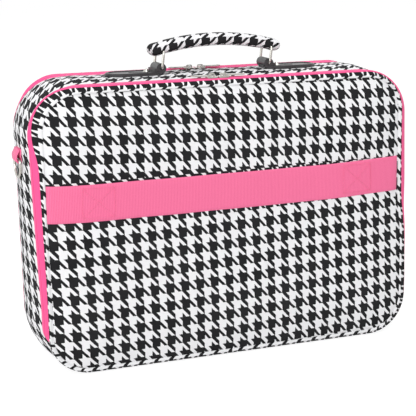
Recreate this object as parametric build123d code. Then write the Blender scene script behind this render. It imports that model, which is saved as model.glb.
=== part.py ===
from build123d import *
import os
from functools import lru_cache
from math import cos, radians, sin

# Fabric-covered laptop case with two zipped lids, millimetres.
# The floor is z = 0, the front lid faces -Y, and +X is to the right of someone facing it.

# Case body
CASE_WIDTH = 430.0
CASE_HEIGHT = 310.0
CORNER_RADIUS = 58.0
FLOOR_FLAT = 1.0
GUSSET_HALF_DEPTH = 37.0
GUSSET_CROWN = 2.5
GUSSET_THICKNESS = 4.0
LINING_THICKNESS = 0.8
DIVIDER_THICKNESS = 2.4

# Zips
TAPE_HALF_WIDTH = 5.8
TAPE_THICKNESS = 1.0
ZIP_SLIT = 1.4
COIL_WIDTH = 1.8
COIL_HEIGHT = 2.0
ZIP_END_HEIGHT = 50.0
LID_GAP = 0.3

# Lids
LID_TAPER = 6.0
LID_CORNER_LESS = 11.0
RIM_DEPTH = 2.0
SEAM_INSET = 8.0
COVER_CROWN = 5.5
CROWN_EDGE = 26.0
CROWN_FLAT_INSET = 90.0
COVER_THICKNESS = 1.2
BOARD_THICKNESS = 2.5
HINGE_BEHIND_FACE = 1.0
HINGE_HEIGHT = 3.0

# Trolley strap across the front lid
STRAP_WIDTH = 38.0
STRAP_THICKNESS = 1.6
STRAP_CENTRE_Z = 189.5
STRAP_SEAT = 0.15

# Sliders and their pulls
SLIDER_LENGTH = 12.5
SLIDER_WIDTH = 9.0
SLIDER_PLATE = 1.2
SLIDER_PLAY = 0.3
SLIDER_NECK_LENGTH = 4.0
SLIDER_GAP = 0.6
FRONT_MEET_X = -11.0
REAR_MEET_X = -5.0
BRIDGE_SPAN = 6.4
BRIDGE_WIDTH = 2.0
BRIDGE_THICKNESS = 1.0
PULL_LENGTH = 24.0
PULL_WIDTH = 6.4
PULL_THICKNESS = 1.2
PULL_PLAY = 0.5
PULL_BAR = 1.4

# Handle
PIVOT_HALF_SPAN = 62.0
RING_HEIGHT = 18.0
RING_WIDTH = 27.0
RING_WIRE = 2.8
RING_CORNER = 3.2
HANDLE_LEAN = 7.0
GRIP_THICKNESS = 13.4
GRIP_WIDTH = 23.4
GRIP_RISE = 8.5
GRIP_OVERHANG = 12.0
GRIP_EDGE_RADIUS = 4.6
GRIP_COVER_THICKNESS = 1.2
TUNNEL_DROP = 1.7
PIVOT_PLAY = 0.1
OPEN_PIVOT_PLAY = 0.3
ROLL_DIAMETER = 11.0
ROLL_WIDTH = 22.0
ROLL_LIFT = 0.5
PLATE_LENGTH = 59.0
PLATE_WIDTH = 32.0
PLATE_THICKNESS = 2.2
PLATE_RIM_WIDTH = 2.2
PLATE_RIM_HEIGHT = 0.8
PLATE_RIM_INSET = 1.6
DART_LENGTH = 20.0
DART_WIDTH = 7.0
RIVET_FROM_PIVOT = 13.4
RIVET_HEAD = 8.0
RIVET_HEAD_HEIGHT = 3.2
RIVET_SHANK = 4.0
RIVET_TAIL = 6.5
RIVET_TAIL_HEIGHT = 1.2
RIVET_PLAY = 0.05
BACKING_WIDTH = 24.0
BACKING_THICKNESS = 1.6
BACKING_OVERHANG = 16.0
NOTCH_CLEARANCE = 0.3

# Side rings for a shoulder strap
SIDE_RING_Z = 227.5
SIDE_RING_WIDTH = 29.0
SIDE_RING_DROP = 19.0
SIDE_RING_WIRE = 3.0
SIDE_RING_CORNER = 3.0
SIDE_TAB_WIDTH = 22.0
SIDE_TAB_THICKNESS = 1.4
SIDE_TAB_LENGTH = 12.0
SIDE_RING_PLAY = 0.3

# Inside fittings
POCKET_WIDTH = 320.0
POCKET_HEIGHT = 170.0
POCKET_BOTTOM_Z = 40.0
POCKET_THICKNESS = 1.2
RETAINER_WIDTH = 38.0
RETAINER_THICKNESS = 1.6
RETAINER_Z = 208.0

# Places worked out from the sizes above
OUTLINE_CENTRE_Z = CASE_HEIGHT / 2 - FLOOR_FLAT
TOP_Z = CASE_HEIGHT - FLOOR_FLAT
ZIP_INSET = GUSSET_CROWN
TAPE_TOP_Z = TOP_Z - ZIP_INSET
CHAIN_Y = GUSSET_HALF_DEPTH + TAPE_HALF_WIDTH + ZIP_SLIT / 2
LID_EDGE_Y = CHAIN_Y + ZIP_SLIT / 2 + TAPE_HALF_WIDTH
SEAM_Y = LID_EDGE_Y + RIM_DEPTH
FACE_Y = SEAM_Y + COVER_CROWN
CHAIN_BOTTOM_INSET = ZIP_INSET + TAPE_THICKNESS + COIL_HEIGHT
BODY_WALL = GUSSET_THICKNESS + LINING_THICKNESS
FLANK_X = CASE_WIDTH / 2
PIVOT_Z = TOP_Z + ROLL_LIFT + ROLL_DIAMETER / 2
LEAN_X = RING_HEIGHT * sin(radians(HANDLE_LEAN))
LEAN_Z = RING_HEIGHT * cos(radians(HANDLE_LEAN))
BRIDGE_HEIGHT = PULL_BAR + 2 * PULL_PLAY
SLIDER_TOP_Z = TAPE_TOP_Z + SLIDER_PLAY + SLIDER_PLATE
PULL_AXIS_Z = SLIDER_TOP_Z + PULL_PLAY + PULL_BAR / 2
SIDE_LOOP_RADIUS = SIDE_RING_WIRE / 2 + SIDE_RING_PLAY + SIDE_TAB_THICKNESS
SIDE_AXIS_X = FLANK_X + SIDE_LOOP_RADIUS
STRAP_PROUD = STRAP_SEAT + STRAP_THICKNESS
# The strap stands proud of the front only, so the case sits this far back to centre its box.
CENTRING_Y = STRAP_PROUD / 2


def corner_at(inset):
    """Corner radius of the outline drawn in by an inset: parallel as far as the seam, then shrinking."""
    if inset <= SEAM_INSET:
        return CORNER_RADIUS - inset
    seam_radius = CORNER_RADIUS - SEAM_INSET
    return seam_radius * (1 - (inset - SEAM_INSET) / (CASE_HEIGHT / 2 - SEAM_INSET))


def taper_at(y):
    """How much narrower each side of the outline is at a depth: none at the gusset, all of it at a lid."""
    share = (abs(y) - GUSSET_HALF_DEPTH) / (LID_EDGE_Y - GUSSET_HALF_DEPTH)
    return LID_TAPER * min(1, max(0, share))


def outline(inset, y, taper):
    """The case's rounded outline as a face at a depth, drawn in by an inset and a lid's taper."""
    plane = Plane(origin=(0, y, OUTLINE_CENTRE_Z), x_dir=(1, 0, 0), z_dir=(0, -1, 0))
    width = CASE_WIDTH - 2 * (inset + taper)
    radius = corner_at(inset) - LID_CORNER_LESS * taper / LID_TAPER
    return plane * RectangleRounded(width, CASE_HEIGHT - 2 * inset, radius)


def through(sections, ruled=False, taper=0):
    """A solid lofted through outlines that share a taper, each given as an inset and a depth."""
    return loft([outline(inset, y, taper).face() for inset, y in sections], ruled=ruled)


def ring_of(outer_inset, inner_inset, y_from, y_to):
    """A flat-sided hoop between the gusset and a lid, narrowing towards the lid."""
    outer, inner = [
        loft([outline(inset, y, taper_at(y)).face() for y in (y_from, y_to)], ruled=True)
        for inset in (outer_inset, inner_inset)]
    return outer - inner


def block(x_range, y_range, z_range):
    """A box given by its limits along each axis."""
    size = [high - low for low, high in (x_range, y_range, z_range)]
    middle = [(high + low) / 2 for low, high in (x_range, y_range, z_range)]
    return Location(middle) * Box(*size)


def above(z):
    """Everything of the case above a height."""
    return block((-CASE_WIDTH, CASE_WIDTH), (-CASE_WIDTH, CASE_WIDTH), (z, 2 * CASE_HEIGHT))


def below(z):
    """Everything of the case below a height."""
    return block((-CASE_WIDTH, CASE_WIDTH), (-CASE_WIDTH, CASE_WIDTH), (-CASE_HEIGHT, z))


def to_rear(part):
    """The rear twin of a front piece."""
    return mirror(part, Plane.XZ)


@lru_cache(maxsize=None)
def gusset_fill(inset):
    """The gusset's crowned band as a full block, drawn in by an inset."""
    bow = [(1.0, 1.0), (0.6, 0.36), (0.0, 0.0), (-0.6, 0.36), (-1.0, 1.0)]
    return through([(inset + GUSSET_CROWN * drop, -GUSSET_HALF_DEPTH * share) for share, drop in bow])


@lru_cache(maxsize=None)
def cover_fill(depth_in):
    """A lid's crowned pan as a full block, moved inwards by a depth."""
    edge = (ZIP_INSET + depth_in, -LID_EDGE_Y + depth_in)
    seam = (SEAM_INSET + depth_in, -SEAM_Y + depth_in)
    crown = through([
        seam,
        (CROWN_EDGE + depth_in, -SEAM_Y - 0.5 * COVER_CROWN + depth_in),
        (2 * CROWN_EDGE + depth_in, -SEAM_Y - 0.86 * COVER_CROWN + depth_in),
        (CROWN_FLAT_INSET + depth_in, -FACE_Y + depth_in)], taper=LID_TAPER)
    return through([edge, seam], True, LID_TAPER) + crown


def pan_side(depth_in):
    """A lid's straight side as a full block, from its edge back to the middle of the case."""
    inset = ZIP_INSET + depth_in
    return through([(inset, -LID_EDGE_Y + depth_in), (inset, 0)], True, LID_TAPER)


def pan_layer(depth_out, depth_in):
    """One layer of a lid's sandwich, between two depths below its outer skin."""
    outer = cover_fill(depth_out)
    if depth_out:
        outer += pan_side(depth_out)
    inner = cover_fill(depth_in) + pan_side(depth_in)
    back = block((-CASE_WIDTH, CASE_WIDTH), (-LID_EDGE_Y, 0), (-CASE_HEIGHT, CASE_HEIGHT * 2))
    return (outer - inner - back).solid()


def zip_half(tape_from, tape_to, coil_from, coil_to):
    """Half a zip chain: its tape, with the coil row under the edge that meets the other half."""
    tape = ring_of(ZIP_INSET, ZIP_INSET + TAPE_THICKNESS, tape_from, tape_to)
    coil = ring_of(ZIP_INSET + TAPE_THICKNESS, CHAIN_BOTTOM_INSET, coil_from, coil_to)
    return ((tape + coil) & above(ZIP_END_HEIGHT)).solid()


def zip_half_case():
    """The front zip's half that is sewn to the gusset."""
    edge = -CHAIN_Y + ZIP_SLIT / 2
    return zip_half(edge, -GUSSET_HALF_DEPTH, edge, edge + COIL_WIDTH)


def zip_half_lid():
    """The front zip's half that is sewn to the lid."""
    edge = -CHAIN_Y - ZIP_SLIT / 2
    return zip_half(-LID_EDGE_Y, edge, edge - COIL_WIDTH, edge)


def hinge_strip():
    """The fabric between gusset and lid below the zip's ends, which bends when the lid opens."""
    hoop = ring_of(ZIP_INSET, ZIP_INSET + COVER_THICKNESS, -LID_EDGE_Y + LID_GAP, -GUSSET_HALF_DEPTH)
    return (hoop & below(ZIP_END_HEIGHT - LID_GAP)).solid()


def rivet_places():
    """Where the two rivets stand along the case."""
    x = PIVOT_HALF_SPAN + RIVET_FROM_PIVOT
    return [-x, x]


def rivet_holes():
    """The holes for both handle rivets, through whatever lies under the plates."""
    radius = RIVET_SHANK / 2 + RIVET_PLAY
    depth = 4 * BODY_WALL + 4 * PLATE_THICKNESS
    return Part() + [Location((x, 0, TOP_Z)) * Cylinder(radius, depth) for x in rivet_places()]


def gusset_shell():
    """The padded band round the case, cut flat where it stands on the floor."""
    shell = gusset_fill(0) - gusset_fill(GUSSET_THICKNESS)
    return (shell - below(0) - rivet_holes()).solid()


def gusset_lining():
    """The lining under the gusset."""
    lining = gusset_fill(GUSSET_THICKNESS) - gusset_fill(BODY_WALL)
    return (lining - rivet_holes()).solid()


def divider_panel():
    """The board between the two compartments, notched under the handle's backing bar."""
    half = DIVIDER_THICKNESS / 2
    reach = backing_reach() + NOTCH_CLEARANCE
    depth = BODY_WALL + BACKING_THICKNESS + RIVET_TAIL_HEIGHT + NOTCH_CLEARANCE
    notch = block((-reach, reach), (-CASE_WIDTH, CASE_WIDTH), (TOP_Z - depth, CASE_HEIGHT))
    return (through([(BODY_WALL, -half), (BODY_WALL, half)], True) - notch).solid()


def organizer_pocket():
    """An open-topped pocket panel sewn flat to the rear side of the divider."""
    back = DIVIDER_THICKNESS / 2
    across = (-POCKET_WIDTH / 2, POCKET_WIDTH / 2)
    pocket_top = POCKET_BOTTOM_Z + POCKET_HEIGHT
    panel = block(across, (back, back + POCKET_THICKNESS), (POCKET_BOTTOM_Z, pocket_top))
    hem = (pocket_top - 8 * POCKET_THICKNESS, pocket_top)
    binding = block(across, (back, back + 2 * POCKET_THICKNESS), hem)
    return (fillet(panel.edges().filter_by(Axis.Y), 8 * POCKET_THICKNESS) + binding).solid()


def retaining_strap():
    """A webbing strap across the front side of the divider, sewn into the lining at both ends."""
    front = -DIVIDER_THICKNESS / 2
    inside = FLANK_X - BODY_WALL
    return block((-inside, inside), (front - RETAINER_THICKNESS, front),
                 (RETAINER_Z - RETAINER_WIDTH / 2, RETAINER_Z + RETAINER_WIDTH / 2)) & gusset_fill(BODY_WALL)


def trolley_strap():
    """The webbing band across the front face, following its crown from seam to seam."""
    cover = cover_fill(0)
    proud = (Location((0, -STRAP_PROUD, 0)) * cover) - (Location((0, -STRAP_SEAT, 0)) * cover)
    half = FLANK_X - SEAM_INSET - LID_TAPER
    band = block((-half, half), (-FACE_Y - 2 * STRAP_PROUD, -SEAM_Y),
                 (STRAP_CENTRE_Z - STRAP_WIDTH / 2, STRAP_CENTRE_Z + STRAP_WIDTH / 2))
    return proud & band


def handle_plate():
    """The left tongue plate with its roll: the tongue points to -X, and the roll holds the ring."""
    tongue_end = PIVOT_HALF_SPAN + PLATE_LENGTH
    shoulder = PIVOT_HALF_SPAN + ROLL_DIAMETER
    half = PLATE_WIDTH / 2

    def tongue(inset):
        reach = half - inset
        neck = ROLL_WIDTH / 2 - inset
        arc_x = -tongue_end + half
        line = Polyline((arc_x, reach), (-shoulder, reach), (-PIVOT_HALF_SPAN - inset, neck),
                        (-PIVOT_HALF_SPAN - inset, -neck), (-shoulder, -reach), (arc_x, -reach))
        tip = ThreePointArc((arc_x, -reach), (-tongue_end + inset, 0), (arc_x, reach))
        return make_face([line, tip])

    deck_z = TOP_Z + PLATE_THICKNESS
    deck = Location((0, 0, TOP_Z - GUSSET_CROWN)) * extrude(tongue(0), GUSSET_CROWN + PLATE_THICKNESS)
    border = tongue(PLATE_RIM_INSET) - tongue(PLATE_RIM_INSET + PLATE_RIM_WIDTH)
    rim = Location((0, 0, deck_z)) * extrude(border, PLATE_RIM_HEIGHT)
    rivet_x = -PIVOT_HALF_SPAN - RIVET_FROM_PIVOT
    dart_face = make_face(Polyline((rivet_x, DART_WIDTH / 2), (rivet_x, -DART_WIDTH / 2),
                                   (rivet_x - DART_LENGTH, 0), close=True))
    dart = Location((0, 0, deck_z)) * extrude(dart_face, PLATE_RIM_HEIGHT / 2)
    roll = Location((-PIVOT_HALF_SPAN, 0, PIVOT_Z), (90, 0, 0)) * Cylinder(ROLL_DIAMETER / 2, ROLL_WIDTH)
    neck = block((-PIVOT_HALF_SPAN - ROLL_DIAMETER * 0.7, -PIVOT_HALF_SPAN),
                 (-ROLL_WIDTH / 2, ROLL_WIDTH / 2), (TOP_Z, PIVOT_Z))
    bore = Location((-PIVOT_HALF_SPAN, 0, PIVOT_Z), (90, 0, 0)) * Cylinder(
        RING_WIRE / 2 + PIVOT_PLAY, ROLL_WIDTH * 2)
    plate = deck + rim + dart + roll + neck - bore - gusset_fill(0)
    return (plate - rivet_holes()).solid()


def handle_rivets():
    """Both rivets: a low pyramid head on the plate, a shank, and a tail clinched under the backing bar."""
    head_z = TOP_Z + PLATE_THICKNESS + PLATE_RIM_HEIGHT / 2
    tail_z = TOP_Z - BODY_WALL - BACKING_THICKNESS
    rivets = []
    for x in rivet_places():
        base = Plane((x, 0, head_z)) * Circle(RIVET_HEAD / 2)
        tip = Plane((x, 0, head_z + RIVET_HEAD_HEIGHT)) * Circle(RIVET_HEAD / 12)
        head = loft([base.face(), tip.face()])
        shank = Location((x, 0, (head_z + tail_z) / 2)) * Cylinder(RIVET_SHANK / 2, head_z - tail_z)
        tail = Location((x, 0, tail_z - RIVET_TAIL_HEIGHT / 2)) * Cylinder(RIVET_TAIL / 2, RIVET_TAIL_HEIGHT)
        rivets.append((head + shank + tail).solid())
    return Compound(rivets)


def backing_reach():
    """Half the length of the bar under the handle."""
    return PIVOT_HALF_SPAN + RIVET_FROM_PIVOT + BACKING_OVERHANG


def backing_bar():
    """The steel strip inside the top of the gusset that the rivets pull against."""
    reach = backing_reach()
    under = TOP_Z - BODY_WALL
    bar = block((-reach, reach), (-BACKING_WIDTH / 2, BACKING_WIDTH / 2), (under - BACKING_THICKNESS, under))
    return ((bar & gusset_fill(BODY_WALL)) - rivet_holes()).solid()


def handle_ring():
    """One rectangular ring of round wire, standing on its lower pivot bar."""
    half_w = RING_WIDTH / 2
    corners = [(0, half_w, 0), (0, half_w, RING_HEIGHT), (0, -half_w, RING_HEIGHT), (0, -half_w, 0)]
    path = FilletPolyline(*corners, radius=RING_CORNER, close=True)
    section = Plane(path @ 0, z_dir=path % 0) * Circle(RING_WIRE / 2)
    return sweep(section, path=path).solid()


def handle_ring_at(x):
    """A handle ring in place on its roll, leaning as in use."""
    place = Location((x, 0, PIVOT_Z), (0, HANDLE_LEAN, 0))
    return place * handle_ring()


def grip_profile(thickness, overhang):
    """The grip's arched side view, a bent slot, centred over its pivots."""
    half = PIVOT_HALF_SPAN + overhang - thickness / 2
    spine = ThreePointArc((-half, 0), (0, GRIP_RISE), (half, 0))
    return Plane.XZ * SlotArc(spine, thickness)


def grip_solid(trim):
    """The whole grip, drawn in all round by a trim."""
    profile = grip_profile(GRIP_THICKNESS - 2 * trim, GRIP_OVERHANG - trim)
    bar = extrude(profile, GRIP_WIDTH / 2 - trim, both=True)
    long_edges = [edge for edge in bar.edges() if edge.center().Y ** 2 > (GRIP_WIDTH / 2 - trim) ** 2 - 0.01]
    return fillet(long_edges, GRIP_EDGE_RADIUS - trim)


def grip_place():
    """Where the grip sits over its leaning rings."""
    return Location((LEAN_X, 0, PIVOT_Z + LEAN_Z + TUNNEL_DROP))


def grip_tunnels():
    """The grip's two cross tunnels for the rings' top bars: close on the left, open on the right."""
    left = Location((-PIVOT_HALF_SPAN, 0, -TUNNEL_DROP), (90, 0, 0)) * Cylinder(
        RING_WIRE / 2 + PIVOT_PLAY, 2 * GRIP_WIDTH)
    right = Location((PIVOT_HALF_SPAN, 0, -TUNNEL_DROP), (90, 0, 0)) * Cylinder(
        RING_WIRE / 2 + OPEN_PIVOT_PLAY, 2 * GRIP_WIDTH)
    return left + right


def grip_cover():
    """The fabric skin of the grip."""
    return grip_place() * (grip_solid(0) - grip_solid(GRIP_COVER_THICKNESS) - grip_tunnels()).solid()


def grip_core():
    """The moulded core of the grip."""
    return grip_place() * (grip_solid(GRIP_COVER_THICKNESS) - grip_tunnels()).solid()


def slider(meet_x, y, direction):
    """A zip slider: two plates round the chain, a neck in its slit, and a bridge over the pull's bar."""
    chain_bottom_z = TOP_Z - CHAIN_BOTTOM_INSET - SLIDER_PLAY
    half_l, half_w = SLIDER_LENGTH / 2, SLIDER_WIDTH / 2
    top = block((-half_l, half_l), (-half_w, half_w), (SLIDER_TOP_Z - SLIDER_PLATE, SLIDER_TOP_Z))
    bottom = block((-half_l, half_l), (-half_w, half_w), (chain_bottom_z - SLIDER_PLATE, chain_bottom_z))
    plates = fillet(top.edges().filter_by(Axis.Z) + bottom.edges().filter_by(Axis.Z), SLIDER_WIDTH / 4)
    neck_half = ZIP_SLIT / 2 - SLIDER_PLAY
    neck = block((half_l - SLIDER_NECK_LENGTH - SLIDER_WIDTH / 4, half_l - SLIDER_WIDTH / 4),
                 (-neck_half, neck_half), (chain_bottom_z, SLIDER_TOP_Z - SLIDER_PLATE))
    arch_top = SLIDER_TOP_Z + BRIDGE_HEIGHT + BRIDGE_THICKNESS
    half_span = BRIDGE_SPAN / 2
    arch = block((-half_span, half_span), (-BRIDGE_WIDTH / 2, BRIDGE_WIDTH / 2), (SLIDER_TOP_Z, arch_top))
    arch = fillet(arch.edges().filter_by(Axis.Y).group_by(Axis.Z)[-1], BRIDGE_THICKNESS * 1.2)
    hollow = block((-half_span + BRIDGE_THICKNESS, half_span - BRIDGE_THICKNESS),
                   (-BRIDGE_WIDTH, BRIDGE_WIDTH), (SLIDER_TOP_Z, SLIDER_TOP_Z + BRIDGE_HEIGHT))
    body = plates + neck + (arch - hollow)
    offset = -direction * (half_l + SLIDER_GAP / 2)
    turn = 0 if direction > 0 else 180
    return Location((meet_x + offset, y, 0), (0, 0, turn)) * body.solid()


def pull(meet_x, y, direction):
    """A slider's pull tab, lying flat along the zip away from the other slider."""
    half_w = PULL_WIDTH / 2
    bar = Location((0, 0, PULL_AXIS_Z), (90, 0, 0)) * Cylinder(PULL_BAR / 2, PULL_WIDTH)
    tip = Pos(-PULL_LENGTH + half_w, 0) * Circle(half_w)
    sheet = Pos(-(PULL_LENGTH - half_w) / 2, 0) * Rectangle(PULL_LENGTH - half_w, PULL_WIDTH) + tip
    eye_length = BRIDGE_SPAN / 2 + 3 * PULL_PLAY
    eye = Pos(-PULL_BAR / 2 - eye_length / 2, 0) * Rectangle(eye_length, BRIDGE_WIDTH + 2 * PULL_PLAY)
    grip_hole = Pos(-PULL_LENGTH + half_w, 0) * Circle(half_w / 2.5)
    under = PULL_AXIS_Z - PULL_THICKNESS / 2
    tab = Location((0, 0, under)) * extrude(sheet - eye - grip_hole, PULL_THICKNESS)
    offset = -direction * (SLIDER_LENGTH / 2 + SLIDER_GAP / 2)
    turn = 0 if direction > 0 else 180
    return Location((meet_x + offset, y, 0), (0, 0, turn)) * (tab + bar).solid()


def side_ring():
    """The left D-ring, hanging from its straight bar, which lies in the tab's loop."""
    half_w = SIDE_RING_WIDTH / 2
    straight = SIDE_RING_DROP - half_w
    sides = Polyline((half_w, -straight), (half_w, 0), (-half_w, 0), (-half_w, -straight))
    bow = ThreePointArc((-half_w, -straight), (0, -SIDE_RING_DROP), (half_w, -straight))
    shape = make_face([sides, bow])
    shape = fillet(shape.vertices().group_by(Axis.Y)[-1], SIDE_RING_CORNER)
    plane = Plane(origin=(-SIDE_AXIS_X, 0, SIDE_RING_Z), x_dir=(0, 1, 0), z_dir=(1, 0, 0))
    path = (plane * shape).face().outer_wire()
    section = Plane(path @ 0, z_dir=path % 0) * Circle(SIDE_RING_WIRE / 2)
    return sweep(section, path=path).solid()


def side_tab():
    """The left webbing tab: a loop round the ring's bar, its two tails sewn flat to the side above it."""
    half = SIDE_TAB_WIDTH / 2
    inner_radius = SIDE_LOOP_RADIUS - SIDE_TAB_THICKNESS
    loop = Cylinder(SIDE_LOOP_RADIUS, SIDE_TAB_WIDTH) - Cylinder(inner_radius, 2 * SIDE_TAB_WIDTH)
    loop = Location((-SIDE_AXIS_X, 0, SIDE_RING_Z), (90, 0, 0)) * loop
    tails = block((-FLANK_X - 2 * SIDE_TAB_THICKNESS, -FLANK_X + GUSSET_CROWN), (-half, half),
                  (SIDE_RING_Z + SIDE_LOOP_RADIUS - SIDE_TAB_THICKNESS, SIDE_RING_Z + SIDE_TAB_LENGTH))
    return (loop + tails - gusset_fill(0)).solid()


def to_right(part):
    """The right twin of a left piece."""
    return mirror(part, Plane.YZ)


def parts():
    """Every piece by name, in place."""
    front_pan = {
        "front_cover": pan_layer(0, COVER_THICKNESS),
        "front_board": pan_layer(COVER_THICKNESS, COVER_THICKNESS + BOARD_THICKNESS),
        "front_lining": pan_layer(COVER_THICKNESS + BOARD_THICKNESS,
                                  COVER_THICKNESS + BOARD_THICKNESS + LINING_THICKNESS),
        "front_zip_chain_case": zip_half_case(),
        "front_zip_chain_lid": zip_half_lid(),
        "front_hinge_strip": hinge_strip(),
    }
    pieces = dict(front_pan)
    for name, part in front_pan.items():
        pieces[name.replace("front", "rear")] = to_rear(part)
    pieces["gusset_shell"] = gusset_shell()
    pieces["gusset_lining"] = gusset_lining()
    pieces["divider_panel"] = divider_panel()
    pieces["organizer_pocket"] = organizer_pocket()
    pieces["laptop_strap"] = retaining_strap()
    pieces["trolley_strap"] = trolley_strap()
    pieces["handle_plate_left"] = handle_plate()
    pieces["handle_plate_right"] = to_right(pieces["handle_plate_left"])
    pieces["handle_rivets"] = handle_rivets()
    pieces["handle_backing_bar"] = backing_bar()
    pieces["handle_ring_left"] = handle_ring_at(-PIVOT_HALF_SPAN)
    pieces["handle_ring_right"] = handle_ring_at(PIVOT_HALF_SPAN)
    pieces["handle_grip_cover"] = grip_cover()
    pieces["handle_grip_core"] = grip_core()
    pieces["d_ring_tab_left"] = side_tab()
    pieces["d_ring_tab_right"] = to_right(pieces["d_ring_tab_left"])
    pieces["d_ring_left"] = side_ring()
    pieces["d_ring_right"] = to_right(pieces["d_ring_left"])
    for face, meet_x, y in (("front", FRONT_MEET_X, -CHAIN_Y), ("rear", REAR_MEET_X, CHAIN_Y)):
        for hand, direction in (("left", 1), ("right", -1)):
            pieces[f"{face}_slider_{hand}"] = slider(meet_x, y, direction)
            pieces[f"{face}_pull_{hand}"] = pull(meet_x, y, direction)
    return pieces


os.makedirs("parts", exist_ok=True)
for piece_name, piece in parts().items():
    export_step(Location((0, CENTRING_Y, 0)) * piece, f"parts/{piece_name}.step")
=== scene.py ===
"""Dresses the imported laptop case: its checked canvas, webbing, zips, lining and trim, and the studio round it.

Sizes are in millimetres, in the row frame, and become metres when a mesh is made.
"""

import logging
import math
from dataclasses import dataclass, replace
from enum import Enum
from typing import Any, Callable, Optional, Sequence, Union

import bmesh
import bpy
import numpy as np
from mathutils import Matrix

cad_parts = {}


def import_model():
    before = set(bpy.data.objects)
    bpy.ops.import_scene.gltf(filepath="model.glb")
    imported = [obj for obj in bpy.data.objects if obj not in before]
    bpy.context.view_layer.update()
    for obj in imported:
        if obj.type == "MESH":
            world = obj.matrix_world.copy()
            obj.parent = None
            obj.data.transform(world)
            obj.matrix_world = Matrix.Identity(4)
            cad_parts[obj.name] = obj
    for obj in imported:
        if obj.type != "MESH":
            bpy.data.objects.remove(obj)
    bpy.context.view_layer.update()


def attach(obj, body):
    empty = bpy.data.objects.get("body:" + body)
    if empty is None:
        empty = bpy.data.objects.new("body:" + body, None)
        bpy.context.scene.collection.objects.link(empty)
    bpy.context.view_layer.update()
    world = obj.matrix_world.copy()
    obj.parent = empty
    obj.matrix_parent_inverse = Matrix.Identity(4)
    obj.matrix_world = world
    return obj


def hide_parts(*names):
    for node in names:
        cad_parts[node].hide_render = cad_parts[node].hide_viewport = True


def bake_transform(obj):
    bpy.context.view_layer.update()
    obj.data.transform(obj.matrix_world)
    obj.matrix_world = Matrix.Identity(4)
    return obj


Array = np.ndarray
Material = bpy.types.Material

LOG = logging.getLogger("laptop_case")
MM = 0.001
CENTRING = np.array([0.0, 0.875, 0.0])
CLOTH_MAP = "Cloth"
UPPER_CLOTH_MAP = "Upper_cloth"
MERGE = 0.02  # how near doubled points are joined, in millimetres
CANVAS_STEP = 4.6  # from one place round the case to the next, in millimetres
ZIP_STEP = 4.0
IMAGE_WIDTH = 416
JOIN_Z = 208.6  # where the front's two panels meet behind the band


class Slot(Enum):
    """The record's material slots."""

    CANVAS = "houndstooth"
    LINING = "lining"
    BOARD = "stiff_board"
    CORE = "moulded_core"
    ZIP = "zip_tape"
    WEBBING = "webbing"
    DARK_WEBBING = "black_webbing"
    PLATE = "moulded_plate"
    NICKEL = "nickel"
    STEEL = "steel"


class Side(Enum):
    """Which lid a piece belongs to, with the sign of its depth."""

    FRONT = -1
    REAR = 1

    @property
    def word(self) -> str:
        """The side's name as the nodes have it."""
        return self.name.lower()

    @property
    def lid(self) -> str:
        """The body of the side's lid."""
        return f"{self.word}_lid"


# Shader maths


def operator(operation: str, swapped: bool = False) -> Callable[["Socket", "Value"], "Socket"]:
    """A method of Socket that adds one Math node of two values.

    Args:
        operation: the Math node's operation.
        swapped: the other value comes first, as a plain number on the left does.

    Returns:
        The method.
    """
    def method(self: "Socket", other: "Value") -> "Socket":
        """The operation's result."""
        return self.math(operation, *((other, self) if swapped else (self, other)))

    return method


class Socket:
    """A node's output that shader maths can be written with, as in 1 + mask * 2."""

    def __init__(self, shader: "Shader", out: bpy.types.NodeSocket) -> None:
        """Keeps the output and the shader that it belongs to."""
        self.shader = shader
        self.out = out

    def math(self, operation: str, *values: "Value") -> "Socket":
        """Adds one Math node.

        Args:
            operation: the Math node's operation.
            values: its inputs, in order.

        Returns:
            The node's result.
        """
        return self.shader.node("ShaderNodeMath", {"operation": operation}, dict(enumerate(values)))

    __add__ = operator("ADD")
    __radd__ = operator("ADD", swapped=True)
    __sub__ = operator("SUBTRACT")
    __mul__ = operator("MULTIPLY")
    __truediv__ = operator("DIVIDE")
    __lt__ = operator("LESS_THAN")
    __gt__ = operator("GREATER_THAN")

    def __abs__(self) -> "Socket":
        """The size without its sign."""
        return self.math("ABSOLUTE", self)

    def fract(self) -> "Socket":
        """What is left above the whole number below."""
        return self.math("FRACT", self)

    def wave(self, period: float) -> "Socket":
        """A sine of a length in millimetres, from -1 to 1."""
        return self.math("SINE", self * (2 * math.pi / period))

    def ridge(self, period: float) -> "Socket":
        """Round ribs side by side: the size of a sine with twice the period, from 0 to 1."""
        return abs(self.wave(2 * period))


Value = Union[Socket, float]


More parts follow.
